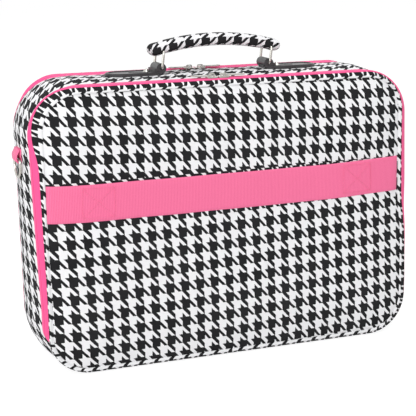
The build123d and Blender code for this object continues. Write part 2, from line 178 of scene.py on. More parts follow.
class Shader:
    """One procedural material and its node tree."""

    def __init__(self, name: str) -> None:
        """Starts an empty material."""
        self.material = bpy.data.materials.new(name)
        self.material.use_nodes = True
        self.tree = self.material.node_tree
        self.tree.nodes.clear()

    def node(self, kind: str, settings: Optional[dict[str, Any]] = None,
             inputs: Optional[dict[Any, Any]] = None, output: Union[int, str] = 0) -> Socket:
        """Adds one node.

        Args:
            kind: the node's type.
            settings: its own settings.
            inputs: values or links by socket name or index.
            output: which output to return.

        Returns:
            The output, wrapped.
        """
        made = self.tree.nodes.new(kind)
        for key, value in (settings or {}).items():
            setattr(made, key, value)
        for key, value in (inputs or {}).items():
            if isinstance(value, Socket):
                self.tree.links.new(value.out, made.inputs[key])
            else:
                made.inputs[key].default_value = value
        return Socket(self, made.outputs[output] if made.outputs else None)

    def cloth(self) -> tuple[Socket, Socket, Socket]:
        """The piece's own cloth coordinates in millimetres.

        Returns:
            The vector, the distance along and the distance across.
        """
        vector = self.node("ShaderNodeUVMap", {"uv_map": CLOTH_MAP})
        return (vector, *self.parts(vector, "XY"))

    def parts(self, vector: Socket, axes: str) -> list[Socket]:
        """A vector's parts along the named axes."""
        return [self.node("ShaderNodeSeparateXYZ", None, {0: vector}, axis) for axis in axes]

    def object_mm(self) -> Socket:
        """Object coordinates in millimetres."""
        vector = self.node("ShaderNodeTexCoord", None, None, "Object")
        return self.node("ShaderNodeVectorMath", {"operation": "SCALE"}, {0: vector, "Scale": 1000.0})

    def noise(self, vector: Socket, size: float, detail: float = 2.0) -> Socket:
        """Soft noise from 0 to 1.

        Args:
            vector: where to read it, in millimetres.
            size: the size of its blotches in millimetres.
            detail: how many finer layers it has.

        Returns:
            The noise.
        """
        return self.node("ShaderNodeTexNoise", None, {"Vector": vector, "Scale": 1.0 / size, "Detail": detail}, "Fac")

    def mix(self, factor: Value, first: Any, second: Any) -> Socket:
        """Blends two colours.

        Args:
            factor: 0 for the first, 1 for the second.
            first: a colour's hex digits, its values or a link.
            second: the same.

        Returns:
            The blended colour.
        """
        first, second = (rgb(colour) if isinstance(colour, str) else colour for colour in (first, second))
        return self.node("ShaderNodeMix", {"data_type": "RGBA"}, {0: factor, 6: first, 7: second}, 2)

    def bump(self, height: Socket, depth: float, strength: float) -> Socket:
        """A surface normal from a height.

        Args:
            height: from 0 to 1.
            depth: what 1 stands for, in millimetres.
            strength: how much of it shows.

        Returns:
            The normal.
        """
        return self.node("ShaderNodeBump", None, {"Height": height, "Distance": depth * MM, "Strength": strength})

    def finish(self, **sockets: Any) -> Material:
        """Ends the material in one Principled shader.

        Args:
            sockets: its inputs, with underscores for the spaces in their names.

        Returns:
            The material.
        """
        inputs = {key.replace("_", " "): value for key, value in sockets.items()}
        surface = self.node("ShaderNodeBsdfPrincipled", None, inputs)
        self.node("ShaderNodeOutputMaterial", None, {"Surface": surface})
        return self.material


def rgb(code: str) -> tuple[float, float, float, float]:
    """A colour written as six hex digits, as the linear values that Blender takes.

    Args:
        code: the digits.

    Returns:
        Red, green, blue and 1.
    """
    parts = np.array([int(code[i:i + 2], 16) for i in (0, 2, 4)]) / 255
    linear = np.where(parts <= 0.04045, parts / 12.92, ((parts + 0.055) / 1.055) ** 2.4)
    return (*[float(value) for value in linear], 1.0)


# Finishes


@dataclass(frozen=True)
class CheckedCanvas:
    """Printed canvas in a large black and white dogtooth check, on a plain weave."""

    name: str = "checked_canvas"
    along: float = 16.7
    across: float = 19.7
    thread: float = 0.62
    bleed: float = 0.03
    seam_z: Optional[float] = None

    def place(self, shader: Shader) -> tuple[Socket, Socket, Socket]:
        """Cloth coordinates, which change from the lower panel's to the upper one's at the height of a seam.

        Args:
            shader: the material's nodes.

        Returns:
            The vector, the distance along and the distance across.
        """
        lower = shader.cloth()
        if self.seam_z is None:
            return lower
        height, = shader.parts(shader.object_mm(), "Z")
        upper = shader.node("ShaderNodeUVMap", {"uv_map": UPPER_CLOTH_MAP})
        vector = shader.node("ShaderNodeMix", {"data_type": "VECTOR"},
                             {0: height > self.seam_z, 4: lower[0], 5: upper}, 1)
        return (vector, *shader.parts(vector, "XY"))

    def build(self) -> Material:
        """The check by the weaver's rule: dark where both yarns are dark, the stripes of a twill where they differ.

        Returns:
            The material.
        """
        shader = Shader(self.name if self.seam_z is None else f"{self.name}_panels")
        vector, x, y = self.place(shader)
        wander = (shader.noise(vector, 9.0) - 0.5) * 0.05
        ragged = (shader.noise(vector, 1.1) - 0.5) * 0.05
        u = x / self.along + (wander + ragged)
        v = y / self.across + (wander - ragged)
        warp = (u + self.bleed / 2).fract() < 0.5 + self.bleed
        weft = (v + self.bleed / 2).fract() < 0.5 + self.bleed
        twill = ((u + v) * 2 + self.bleed).fract() < 0.5 + self.bleed * 2
        dark = weft + twill * (warp - weft)
        fibre = shader.noise(vector, 0.5, 3.0)
        weave = x.wave(self.thread) * y.wave(self.thread)
        grain = fibre * 0.7 + weave * 0.15 + 0.15
        ink = shader.mix(grain, "060607", "252527")
        ground = shader.mix(grain, "dedee2", "ffffff")
        colour = shader.mix(dark, ground, ink)
        soil = shader.noise(vector, 60.0)
        colour = shader.mix(soil * 0.05, colour, "9a9a9e")
        normal = shader.bump(weave * 0.5 + fibre * 0.5, 0.10, 0.6)
        return shader.finish(Base_Color=colour, Roughness=0.80 + dark * 0.06, Normal=normal,
                             Specular_IOR_Level=0.10)


@dataclass(frozen=True)
class ZipTape:
    """Knitted nylon tape of a reversed coil zip: fine ribs along it and a slant of the knit across them."""

    name: str = "zip_tape"
    light: str = "ff5e9c"
    dark: str = "f43f85"
    fold_y: float = 43.5
    slit_shade_width: float = 0.8

    def build(self) -> Material:
        """Ribs along the tape, broken by the knit's slant and darker in their grooves as painted shade, and a darker
        line of painted shade in the slit where its two folds meet.

        Returns:
            The material.
        """
        shader = Shader(self.name)
        vector, x, y = shader.cloth()
        rib = y.ridge(0.9)
        knit = (x + y * 1.6).ridge(0.8)
        pile = rib * 0.6 + knit * 0.4
        fuzz = shader.noise(vector, 1.1, 3.0)
        # where the slit between the tape's two folds lies, for a line of painted shade
        fold = abs(y - self.fold_y) < self.slit_shade_width / 2
        # the colour is darker in the grooves of the ribs and knit, which is painted shade, and varies at random with
        # the fuzz
        colour = shader.mix(pile * 0.6 + fuzz * 0.4, self.dark, self.light)
        # a darker line along the slit: painted shade
        colour = shader.mix(fold * 0.6, colour, "d02c72")
        return shader.finish(Base_Color=colour, Roughness=0.62 + fuzz * 0.1, Normal=shader.bump(pile, 0.12, 0.7),
                             Specular_IOR_Level=0.35, Sheen_Weight=0.15)


@dataclass(frozen=True)
class ZipCoil:
    """The monofilament coil under a zip's tape: slanted turns of smooth nylon."""

    name: str = "zip_coil"
    turn: float = 1.7

    def build(self) -> Material:
        """Round turns side by side along the coil, darker between the turns as painted shade.

        Returns:
            The material.
        """
        shader = Shader(self.name)
        x, y = shader.cloth()[1:]
        turns = (x + y * 0.25).ridge(self.turn)
        # deep pink between the turns and bright on their tops: painted shade
        colour = shader.mix(turns, "a81f58", "ff5b9c")
        return shader.finish(Base_Color=colour, Roughness=0.35 + turns * 0.05, Normal=shader.bump(turns, 0.5, 0.9))


@dataclass(frozen=True)
class Webbing:
    """Ribbed polypropylene webbing: ribs across its length, crossed by the weft's fine picks."""

    name: str
    light: str
    dark: str
    rib: float = 1.65

    def build(self) -> Material:
        """Ribs across the length and a fine pick along them.

        Returns:
            The material.
        """
        shader = Shader(self.name)
        vector, x, y = shader.cloth()
        wander = (shader.noise(vector, 2.5) - 0.5) * 0.5
        rib = (x + wander).ridge(self.rib)
        pick = y.ridge(0.8)
        height = rib * 0.65 + pick * 0.35
        blotch = shader.noise(vector, 1.6, 3.0)
        # the colour is darker in the grooves between ribs and picks, which is painted shade, and varies at random
        # with the blotch
        colour = shader.mix(height * 0.7 + blotch * 0.3, self.dark, self.light)
        return shader.finish(Base_Color=colour, Roughness=0.55 + blotch * 0.15,
                             Normal=shader.bump(height, 0.28, 0.75), Specular_IOR_Level=0.4, Sheen_Weight=0.1)


@dataclass(frozen=True)
class Thread:
    """Sewing thread: two plies twisted together."""

    name: str
    colour: str

    def build(self) -> Material:
        """A fine ply noise over each stitch.

        Returns:
            The material.
        """
        shader = Shader(self.name)
        vector = shader.object_mm()
        ply = shader.noise(vector, 0.35, 1.0)
        base = rgb(self.colour)
        deep = (base[0] * 0.8, base[1] * 0.8, base[2] * 0.8, 1.0)
        return shader.finish(Base_Color=shader.mix(ply, deep, base), Roughness=0.45 + ply * 0.1,
                             Normal=shader.bump(ply, 0.1, 0.6), Sheen_Weight=0.1)


@dataclass(frozen=True)
class LiningNylon:
    """Plain woven nylon with a fine ripstop grid and a faint gloss."""

    name: str = "lining_nylon"
    light: str = "2c2d31"
    dark: str = "17171a"
    grid: float = 5.0

    def build(self) -> Material:
        """Fine threads, with a thicker one at each line of the grid.

        Returns:
            The material.
        """
        shader = Shader(self.name)
        vector, x, y = shader.cloth()
        thread = x.ridge(0.45) * y.ridge(0.45)
        line = ((x / self.grid).fract() < 0.09) + ((y / self.grid).fract() < 0.09)
        slub = shader.noise(vector, 14.0, 3.0)
        colour = shader.mix(slub * 0.6 + thread * 0.2 + line * 0.2, self.dark, self.light)
        return shader.finish(Base_Color=colour, Roughness=0.5 + slub * 0.15,
                             Normal=shader.bump(thread * 0.4 + line * 0.5, 0.12, 0.7), Sheen_Weight=0.2)


@dataclass(frozen=True)
class MouldedLeather:
    """Black moulded leather-look plastic: a pressed pore grain under a half-gloss coat, with a soft mottle of wear.
    """

    name: str = "moulded_leather"

    def build(self) -> Material:
        """Pores from a cell texture, with a soft wear mottle.

        Returns:
            The material.
        """
        shader = Shader(self.name)
        vector = shader.object_mm()
        cell = shader.node("ShaderNodeTexVoronoi", {"feature": "DISTANCE_TO_EDGE"},
                           {"Vector": vector, "Scale": 1.1}, "Distance")
        wear = shader.noise(vector, 7.0, 4.0)
        grain = shader.noise(vector, 0.6, 3.0)
        height = cell * 0.8 + grain * 0.2
        colour = shader.mix(wear * 0.6 + grain * 0.25, "161617", "47474a")
        return shader.finish(Base_Color=colour, Roughness=0.30 + wear * 0.18, Normal=shader.bump(height, 0.09, 0.6),
                             Coat_Weight=0.25, Coat_Roughness=0.22)


@dataclass(frozen=True)
class RubbedMetal:
    """Plated metal, with rub or rolling marks drawn out along one axis and a cloud of tarnish.

    Attributes:
        name: the material.
        bright: its colour as hex digits.
        dull: its colour where it is tarnished.
        stretch: how much finer the marks are along each axis.
        mark: the marks' size in millimetres and their detail.
        cloud: the same for the tarnish.
        tarnish: how much of it shows.
        rough: the least roughness, and how much the marks add.
        relief: the marks' depth in millimetres and the strength of their bump.
    """

    name: str = "nickel_plate"
    bright: str = "dcdad4"
    dull: str = "a9a59c"
    stretch: tuple[float, float, float] = (0.25, 2.5, 2.5)
    mark: tuple[float, float] = (0.8, 3.0)
    cloud: tuple[float, float] = (5.0, 2.0)
    tarnish: float = 0.7
    rough: tuple[float, float] = (0.12, 0.14)
    relief: tuple[float, float] = (0.02, 0.4)

    def build(self) -> Material:
        """A mirror broken by its marks, over a cloudy colour.

        Returns:
            The material.
        """
        shader = Shader(self.name)
        vector = shader.object_mm()
        marks = shader.noise(shader.node("ShaderNodeMapping", None, {"Vector": vector, "Scale": self.stretch}),
                             *self.mark)
        colour = shader.mix(shader.noise(vector, *self.cloud) * self.tarnish, self.bright, self.dull)
        return shader.finish(Base_Color=colour, Metallic=1.0, Roughness=self.rough[0] + marks * self.rough[1],
                             Normal=shader.bump(marks, *self.relief))


@dataclass(frozen=True)
class PressedBoard:
    """Dense pressed fibre board."""

    name: str = "pressed_board"

    def build(self) -> Material:
        """Short fibres and flecks.

        Returns:
            The material.
        """
        shader = Shader(self.name)
        vector = shader.object_mm()
        fibre = shader.noise(vector, 1.2, 6.0)
        fleck = shader.noise(vector, 8.0, 2.0)
        colour = shader.mix(fibre * 0.6 + fleck * 0.4, "2b2a29", "5a5753")
        return shader.finish(Base_Color=colour, Roughness=0.85 + fibre * 0.1, Normal=shader.bump(fibre, 0.15, 0.6))


@dataclass(frozen=True)
class MouldedCore:
    """Matt injection-moulded plastic with a spark-eroded grain."""

    name: str = "moulded_core"

    def build(self) -> Material:
        """A fine even grain.

        Returns:
            The material.
        """
        shader = Shader(self.name)
        vector = shader.object_mm()
        grain = shader.noise(vector, 0.4, 2.0)
        colour = shader.mix(grain, "1b1b1c", "2f2f31")
        return shader.finish(Base_Color=colour, Roughness=0.55 + grain * 0.1, Normal=shader.bump(grain, 0.05, 0.5))


class Finishes:
    """Every finish of the case, built once."""

    def __init__(self) -> None:
        """Builds all the materials."""
        self.canvas = CheckedCanvas().build()
        self.joined_canvas = CheckedCanvas(seam_z=JOIN_Z).build()
        self.zip_tape = ZipTape().build()
        self.zip_coil = ZipCoil().build()
        self.webbing = Webbing("pink_webbing", "ff82ac", "e54e83").build()
        self.dark_webbing = Webbing("dark_webbing", "2f2f33", "121214").build()
        self.pink_thread = Thread("pink_thread", "fb7aa6").build()
        self.dark_thread = Thread("dark_thread", "1c1c1e").build()
        self.lining = LiningNylon().build()
        self.plate = MouldedLeather().build()
        self.nickel = RubbedMetal().build()
        self.steel = RubbedMetal("zinc_strip", "8d9196", "b9bcc0", (0.05, 2.0, 2.0), (0.6, 4.0), (6.0, 3.0), 1.0,
                                 (0.32, 0.2), (0.03, 0.5)).build()
        self.board = PressedBoard().build()
        self.core = MouldedCore().build()


# Surfaces


@dataclass
class Patch:
    """A grid of points with the cloth coordinates of each.

    Attributes:
        points: (rows, columns, 3), in millimetres.
        cloth: (rows + 1 if wrapped, columns + 1 if wrapped, 2), in millimetres.
        wrap_rows: the last row joins the first.
        wrap_columns: the last column joins the first.
        caps: the ends of a tube along the rows are closed.
    """

    points: Array
    cloth: Array
    wrap_rows: bool = False
    wrap_columns: bool = False
    caps: bool = False

    def faces(self) -> tuple[list[Array], list[Array]]:
        """Quads over the grid, each by its four neighbours, and the caps.

        Returns:
            The faces as vertex numbers, and the cloth coordinates of their corners.
        """
        rows, columns = self.points.shape[:2]
        i = np.arange(rows if self.wrap_rows else rows - 1)[:, None]
        j = np.arange(columns if self.wrap_columns else columns - 1)[None, :]
        steps = ((0, 0), (1, 0), (1, 1), (0, 1))
        quads = np.stack([((i + a) % rows) * columns + (j + b) % columns for a, b in steps], -1).reshape(-1, 4)
        cloth = np.stack([self.cloth[i + a, j + b] for a, b in steps], -2).reshape(-1, 4, 2)
        faces, corners = list(quads), list(cloth)
        if self.caps:
            ring = np.arange(columns)
            for row, order in ((0, ring), (rows - 1, ring[::-1])):
                faces.append(row * columns + order)
                corners.append(self.cloth[row, order])
        return faces, corners


def linked(name: str, data: bpy.types.ID) -> bpy.types.Object:
    """Makes an object and puts it into the scene.

    Args:
        name: the object.
        data: its mesh, lamp or camera.

    Returns:
        The object, at the origin.
    """
    made = bpy.data.objects.new(name, data)
    bpy.context.scene.collection.objects.link(made)
    return made


@dataclass
class Piece:
    """One mesh of the dressed case.

    Attributes:
        name: the piece.
        patches: its surfaces.
        material: its finish.
        slot: the record's material.
        merge: how near two points are joined, in millimetres, or 0 for none.
        upper_cloth: each patch's cloth coordinates above the seam, where it has one.
    """

    name: str
    patches: list[Patch]
    material: Material
    slot: Slot
    merge: float = 0.0
    upper_cloth: Optional[list[Array]] = None

    def build(self) -> bpy.types.Object:
        """Makes and reports the mesh, in metres, its doubled rows joined and its faces turned outwards.

        Returns:
            The new object, at the origin.
        """
        vertices: list[Array] = []
        faces: list[Array] = []
        corners: list[Array] = []
        first = 0
        for patch in self.patches:
            found, cloth = patch.faces()
            faces += [face + first for face in found]
            corners += cloth
            vertices.append((patch.points.reshape(-1, 3) + CENTRING) * MM)
            first += len(vertices[-1])
        mesh = bpy.data.meshes.new(self.name)
        mesh.from_pydata(np.concatenate(vertices).tolist(), [], [face.tolist() for face in faces])
        maps = {CLOTH_MAP: corners}
        if self.upper_cloth is not None:
            maps[UPPER_CLOTH_MAP] = [corner for patch, cloth in zip(self.patches, self.upper_cloth)
                                     for corner in replace(patch, cloth=cloth).faces()[1]]
        for title, places in maps.items():
            layer = mesh.uv_layers.new(name=title)
            layer.data.foreach_set("uv", np.concatenate(places).astype(np.float32).ravel())
        shape = bmesh.new()
        shape.from_mesh(mesh)
        if self.merge:
            bmesh.ops.remove_doubles(shape, verts=shape.verts, dist=self.merge * MM)
        bmesh.ops.recalc_face_normals(shape, faces=shape.faces)
        shape.to_mesh(mesh)
        shape.free()
        mesh.polygons.foreach_set("use_smooth", np.full(len(mesh.polygons), True))
        mesh.materials.append(self.material)
        made = linked(self.name, mesh)
        LOG.info("%s", self.name)
        return made


def waves(x: Array, y: Array, length: float, seed: int) -> Array:
    """A gentle unevenness: five sines of about one wavelength in seeded directions, added up.

    Args:
        x: one coordinate in millimetres.
        y: the other.
        length: the wavelength in millimetres.
        seed: which unevenness.

    Returns:
        Values from about -1 to 1.
    """
    rng = np.random.default_rng(seed)
    angle = rng.uniform(0, 2 * math.pi, 5)
    phase = rng.uniform(0, 2 * math.pi, 5)
    scale = 2 * math.pi / (length * rng.uniform(0.7, 1.5, 5))
    across = x[..., None] * np.cos(angle) + y[..., None] * np.sin(angle)
    return np.sin(across * scale + phase).sum(-1) / 2.8


def smooth_step(value: Array, start: float = 0.0, run: float = 1.0) -> Array:
    """0 up to start, 1 past start + run, and the cubic 3t^2 - 2t^3 between."""
    t = np.clip((value - start) / run, 0, 1)
    return t * t * (3 - 2 * t)


def spread(along: Array, across: Array) -> Array:
    """Cloth coordinates of a flat strip: each row's way along it and each column's way across it."""
    return np.stack(np.broadcast_arrays(along[:, None], across[None, :]), -1)


def rows_closed(cloth: Array) -> Array:
    """Cloth coordinates with the first row again at the end, for a patch whose rows wrap."""
    return np.concatenate([cloth, cloth[:1]], axis=0)


def two_sided(outer: Array, y: Array, thickness: float) -> tuple[Array, Array]:
    """A strip's cross-section, out along its outer side and back along its inner one.

    Args:
        outer: (columns) or (rows, columns), insets of the outer side.
        y: (columns), its depths.
        thickness: how far in the inner side lies.

    Returns:
        The insets and the depths.
    """
    return np.concatenate([outer, outer[..., ::-1] + thickness], axis=-1), np.concatenate([y, y[::-1]])


def travelled(points: Array) -> Array:
    """The distance gone along a line of points.

    Args:
        points: (n, 2 or 3).

    Returns:
        n distances, from 0.
    """
    steps = np.linalg.norm(np.diff(points, axis=0), axis=1)
    return np.concatenate([[0.0], np.cumsum(steps)])


def flowing(points: Sequence[Sequence[float]], count: int) -> Array:
    """A smooth line through a few points: Catmull-Rom cubics, evenly spaced along their length.

    Args:
        points: the points to go through.
        count: how many points to return.

    Returns:
        (count, dimensions).
    """
    given = np.array(points, float)
    ends = np.concatenate([[2 * given[0] - given[1]], given, [2 * given[-1] - given[-2]]])
    t = np.linspace(0, len(given) - 1 - 1e-9, 12 * len(given))
    k = t.astype(int)
    f = (t - k)[:, None]
    a, b, c, d = ends[k], ends[k + 1], ends[k + 2], ends[k + 3]
    dense = 0.5 * (2 * b + (c - a) * f + (2 * a - 5 * b + 4 * c - d) * f ** 2 + (3 * b - a - 3 * c + d) * f ** 3)
    gone = travelled(dense)
    even = np.linspace(0, gone[-1], count)
    return np.stack([np.interp(even, gone, dense[:, axis]) for axis in range(dense.shape[1])], -1)


@dataclass(frozen=True)
class PanelCut:
    """How the check lies on a sewn panel: its repeats sideways and upwards, each a quadratic of the place.

    Attributes:
        sideways: factors of 1, x, z, x^2, xz and z^2, with x in 200 mm and z in 150 mm from the case's middle.
        upwards: the same for the other way.
    """

    sideways: tuple[float, ...] = (0.0, 11.976, 0.0, 0.0, 0.0, 0.0)
    upwards: tuple[float, ...] = (0.0, 0.0, 7.614, 0.0, 0.0, 0.0)

    def cloth(self, x: Array, z: Array, canvas: CheckedCanvas) -> Array:
        """Cloth coordinates of places on the panel.

        Args:
            x: sideways, in millimetres.
            z: upwards from the middle, in millimetres.
            canvas: the cloth, for the size of its repeat.

        Returns:
            Places in the cloth, in millimetres, with one axis more than x.
        """
        x, z = x / 200, z / 150
        terms = np.stack([np.ones_like(x), x, z, x * x, x * z, z * z], -1)
        return np.stack([terms @ np.array(self.sideways) * canvas.along,
                         terms @ np.array(self.upwards) * canvas.across], -1)


@dataclass(frozen=True)
class PaddedCloth:
    """Canvas over thin wadding: a flat coarse grid, sewn down along its seams and settled by the cloth solver.

    Attributes:
        width: of the grid, sideways, in millimetres.
        height: of the grid, upwards.
        seed: which unevenness the canvas starts from.
        step: from one grid point to the next.
        pressure: how hard the wadding presses outwards.
        spare: how much more canvas than wadding there is, as a share.
        most: how far a point may stand out, in millimetres.
        least: how far a point may sink in.
        window: how many grid points each way make the form that the board already has.
        frames: how long the solver runs.
        start: the wavelength and the height of the unevenness that it starts from, in millimetres.
        bending: how stiff the canvas is.
    """

    width: float
    height: float
    seed: int
    step: float = 9.0
    pressure: float = 4.0
    spare: float = 0.01
    most: float = 1.2
    least: float = 0.15
    window: int = 4
    frames: int = 20
    start: tuple[float, float] = (34.0, 0.35)
    bending: float = 2.0

    def grid(self) -> tuple[Array, Array]:
        """The grid's places sideways and upwards, about its middle, each as (columns, rows)."""
        across, up = (np.linspace(-size / 2, size / 2, 2 * round(size / self.step / 2) + 1)
                      for size in (self.width, self.height))
        x, y = np.meshgrid(across, up, indexing="ij")
        return x, y

    def smoothed(self, values: Array) -> Array:
        """The mean over a square window round each grid point, the edges repeated outwards."""
        count = 2 * self.window + 1
        kernel = np.full(count, 1 / count)
        values = np.pad(values, self.window, mode="edge")
        for axis in (0, 1):
            values = np.apply_along_axis(np.convolve, axis, values, kernel, "valid")
        return values

    def settled(self, sewn: Array) -> Array:
        """Runs the cloth solver and keeps its ripples and puckers.

        The wide swelling, which the board's crown has already, is taken away as the mean over the window. What is
        left is eased to its cap by most * tanh(ripple / most), and its dips end at least.

        Args:
            sewn: (columns, rows), where the canvas is held down.
        """
        x, y = self.grid()
        length, rise = self.start
        flat = Patch(np.stack([x, y, np.where(sewn, 0.0, waves(x, y, length, self.seed) * rise)], -1),
                     np.zeros((*x.shape, 2)))
        mesh = bpy.data.meshes.new("padded_cloth")
        mesh.from_pydata((flat.points.reshape(-1, 3) * MM).tolist(), [], [face.tolist() for face in flat.faces()[0]])
        made = linked("padded_cloth", mesh)
        made.vertex_groups.new(name="sewn").add(np.flatnonzero(sewn).tolist(), 1.0, "REPLACE")
        solver = made.modifiers.new("cloth", "CLOTH")
        solver.settings.vertex_group_mass = "sewn"
        solver.settings.use_pressure = True
        solver.settings.uniform_pressure_force = self.pressure
        solver.settings.shrink_min = -self.spare
        solver.settings.bending_stiffness = self.bending
        solver.settings.effector_weights.gravity = 0
        solver.collision_settings.use_collision = False
        solver.point_cache.frame_end = self.frames
        for frame in range(1, self.frames + 1):
            bpy.context.scene.frame_set(frame)
        shape = made.evaluated_get(bpy.context.evaluated_depsgraph_get())
        found = np.empty(len(mesh.vertices) * 3, np.float32)
        shape.data.vertices.foreach_get("co", found)
        bpy.data.objects.remove(made)
        bpy.data.meshes.remove(mesh)
        bpy.context.scene.frame_set(1)
        rise = found.reshape(*x.shape, 3)[..., 2] / MM
        return np.maximum(self.most * np.tanh((rise - self.smoothed(rise)) / self.most), -self.least)

    def rise_at(self, rises: Array, x: Array, y: Array) -> Array:
        """The rise anywhere on the canvas, by its four nearest grid points, each by its nearness.

        Args:
            rises: (columns, rows), from settled.
            x: sideways from the grid's middle, in millimetres.
            y: upwards.

        Returns:
            The rises, in the shape of x.
        """
        columns, rows = rises.shape
        u = np.clip((x / self.width + 0.5) * (columns - 1), 0, columns - 1.001)
        v = np.clip((y / self.height + 0.5) * (rows - 1), 0, rows - 1.001)
        i, j = u.astype(int), v.astype(int)
        u, v = u - i, v - j
        return ((1 - u) * ((1 - v) * rises[i, j] + v * rises[i, j + 1])
                + u * ((1 - v) * rises[i + 1, j] + v * rises[i + 1, j + 1]))


@dataclass(frozen=True)
class Stations:
    """Places round the case: their distance along it, their shares of its half sides and their outward angle."""

    along: Array
    side_x: Array
    side_z: Array
    angle: Array


@dataclass(frozen=True)
class CaseOutline:
    """The rounded outline that gusset, zips and lids share, seen from the front.

    Depths are given as for the front lid's side of the case, without their sign. A pair written as a start and a
    run is where smooth_step begins and how far it takes to reach 1.

    Attributes:
        width, height, corner, centre_z: the gusset's outline and the height of its middle.
        seam_inset, lid_taper, lid_corner_less: how much further in a lid's seam, side and corner radius are.
        gusset_edge_y, chain_y, lid_edge_y, seam_y: depths of the gusset's edge, the zip, the lid's edge and its seam.
        gusset_inset: how far in the gusset's edge and the zip lie.
        zip_end_z: the height at which a zip ends.
        front_drop, sunk_y: how far the front lid sinks at the top, and how much nearer than its edge that starts.
        rear_rise: how far the rear lid stands up there.
        sway, sway_most: the lean, as factors of 1, t and t^2 with t the height's share from the middle, and its most.
        lean_depths, lean_shares: the shares of the lean at some depths, here with their sign.
        pinch, pinch_x, pinch_z, pinch_y: how far the canvas closes in on the zip at the upper left corner, and where.
        corner_out, corner_out_x: how far the lid's edge moves out there, and where.
        right_wider, right_lower_wider: how much wider the right side is towards the front, and low on the lid.
        lower_z, lower_y: where low on the lid is.
    """

    width: float = 430.0
    height: float = 310.0
    corner: float = 58.0
    centre_z: float = 154.0
    seam_inset: float = 8.0
    lid_taper: float = 6.0
    lid_corner_less: float = 11.0
    gusset_edge_y: float = 37.0
    gusset_inset: float = 2.5
    lid_edge_y: float = 50.0
    chain_y: float = 43.5
    seam_y: float = 52.0
    zip_end_z: float = 49.0
    front_drop: float = 3.2
    sunk_y: float = 2.0
    rear_rise: float = 1.6
    sway: tuple[float, float, float] = (1.9, -6.9, 1.1)
    sway_most: float = 6.0
    lean_depths: tuple[float, ...] = (-52.0, -50.0, -43.5, -37.0, 37.0)
    lean_shares: tuple[float, ...] = (0.12, 0.6, 0.85, 0.8, 0.3)
    pinch: float = 3.6
    pinch_x: tuple[float, float] = (160.0, 26.0)
    pinch_z: tuple[float, float] = (222.0, 36.0)
    pinch_y: tuple[float, float] = (20.0, 17.0)
    corner_out: float = 4.5
    corner_out_x: tuple[float, float] = (150.0, 50.0)
    right_wider: float = 2.0
    right_lower_wider: float = 4.2
    lower_z: tuple[float, float] = (-170.0, 60.0)
    lower_y: float = 4.0

    @property
    def runs(self) -> Array:
        """The lengths of the outline's nine runs, from the middle of the bottom round to it again."""
        flat_x, flat_z = self.width / 2 - self.corner, self.height - 2 * self.corner
        turn = self.corner * math.pi / 2
        return np.array([flat_x, turn, flat_z, turn, 2 * flat_x, turn, flat_z, turn, flat_x])

    @property
    def length(self) -> float:
        """The whole way round."""
        return float(self.runs.sum())

    @property
    def zip_end(self) -> float:
        """How far from the middle of the bottom each zip ends."""
        drop = (self.centre_z - self.height / 2 + self.corner) - self.zip_end_z
        turned = math.asin(drop / self.corner)
        return self.width / 2 - self.corner + self.corner * (math.pi / 2 - turned)

    def stations(self, along: Array) -> Stations:
        """Finds places by their distance from the middle of the bottom, towards +X first.

        Args:
            along: distances in millimetres, of any sign.

        Returns:
            The stations.
        """
        runs = self.runs
        starts = np.concatenate([[0.0], np.cumsum(runs)])
        rest = np.mod(along, self.length)
        k = np.clip(np.searchsorted(starts, rest, side="right") - 1, 0, 8)
        share = (rest - starts[k]) / runs[k]
        x = np.array([0, 1, 1, 1, 1, -1, -1, -1, -1, 0.0])
        z = np.array([-1, -1, -1, 1, 1, 1, 1, -1, -1, -1.0])
        angle = np.radians([-90, -90, 0, 0, 90, 90, 180, 180, 270, 270])
        at = [values[k] + share * (values[k + 1] - values[k]) for values in (x, z, angle)]
        return Stations(along, *at)

    def round_all(self, step: float) -> Stations:
        """Stations all the way round, for a surface that closes on itself."""
        count = 4 * int(self.length / step / 4)
        return self.stations(np.arange(count) * self.length / count)

    def zip_run(self, step: float) -> Stations:
        """Stations along a zip, from its right end over the top to its left end."""
        return self.stations(np.linspace(self.zip_end, self.length - self.zip_end, int(self.length / step)))

    def hinge_run(self, step: float) -> Stations:
        """Stations under the zip's ends, from the left one through the bottom to the right one."""
        reach = self.zip_end - 0.3
        return self.stations(np.linspace(-reach, reach, int(2 * reach / step)))

    def corner_at(self, inset: Array) -> Array:
        """The corner radius of an outline drawn in by an inset: parallel to the seam, then shrinking to nothing."""
        seam = self.corner - self.seam_inset
        beyond = seam * (1 - (inset - self.seam_inset) / (self.height / 2 - self.seam_inset))
        return np.where(inset <= self.seam_inset, self.corner - inset, beyond)

    def lid_share(self, y: Array) -> Array:
        """How much of a lid's narrowing a depth has: none at the gusset, all of it at a lid's edge."""
        return np.clip((np.abs(y) - self.gusset_edge_y) / (self.lid_edge_y - self.gusset_edge_y), 0, 1)

    def leaning(self, z: Array, y: Array) -> Array:
        """How far the filled case leans sideways: a quadratic of the height, by a share that goes with the depth.

        Args:
            z: heights.
            y: depths, negative towards the front.

        Returns:
            Millimetres towards +X.
        """
        t = (z - self.centre_z) / (self.height / 2)
        lean = np.clip(self.sway[0] + self.sway[1] * t + self.sway[2] * t ** 2, -self.sway_most, self.sway_most)
        return lean * np.interp(y, self.lean_depths, self.lean_shares)

    def pinched(self, x: Array, z: Array, inset: Array,
                y: Array) -> tuple[Array, Array]:
        """Places near the upper left corner, where the canvas on both sides closes in on the zip.

        Args:
            x: sideways.
            z: upwards.
            inset: how far in from the outline.
            y: depths.

        Returns:
            The sideways places, with the lid's edge moved out, and the depths, moved towards the zip's middle.
        """
        place = smooth_step(-x, *self.pinch_x) * smooth_step(z, *self.pinch_z)
        deep = np.abs(y)
        way = np.clip((deep - self.chain_y) / (self.lid_edge_y - self.chain_y), -1, 1)
        rim = np.clip((self.seam_inset - inset) / (self.seam_inset - self.gusset_inset), 0, 1)
        reach = np.where(deep > self.chain_y, rim, smooth_step(deep, *self.pinch_y))
        out = self.corner_out * place * self.lid_share(y) * rim * smooth_step(-x, *self.corner_out_x)
        return x - out, y - np.sign(y) * self.pinch * place * way * reach

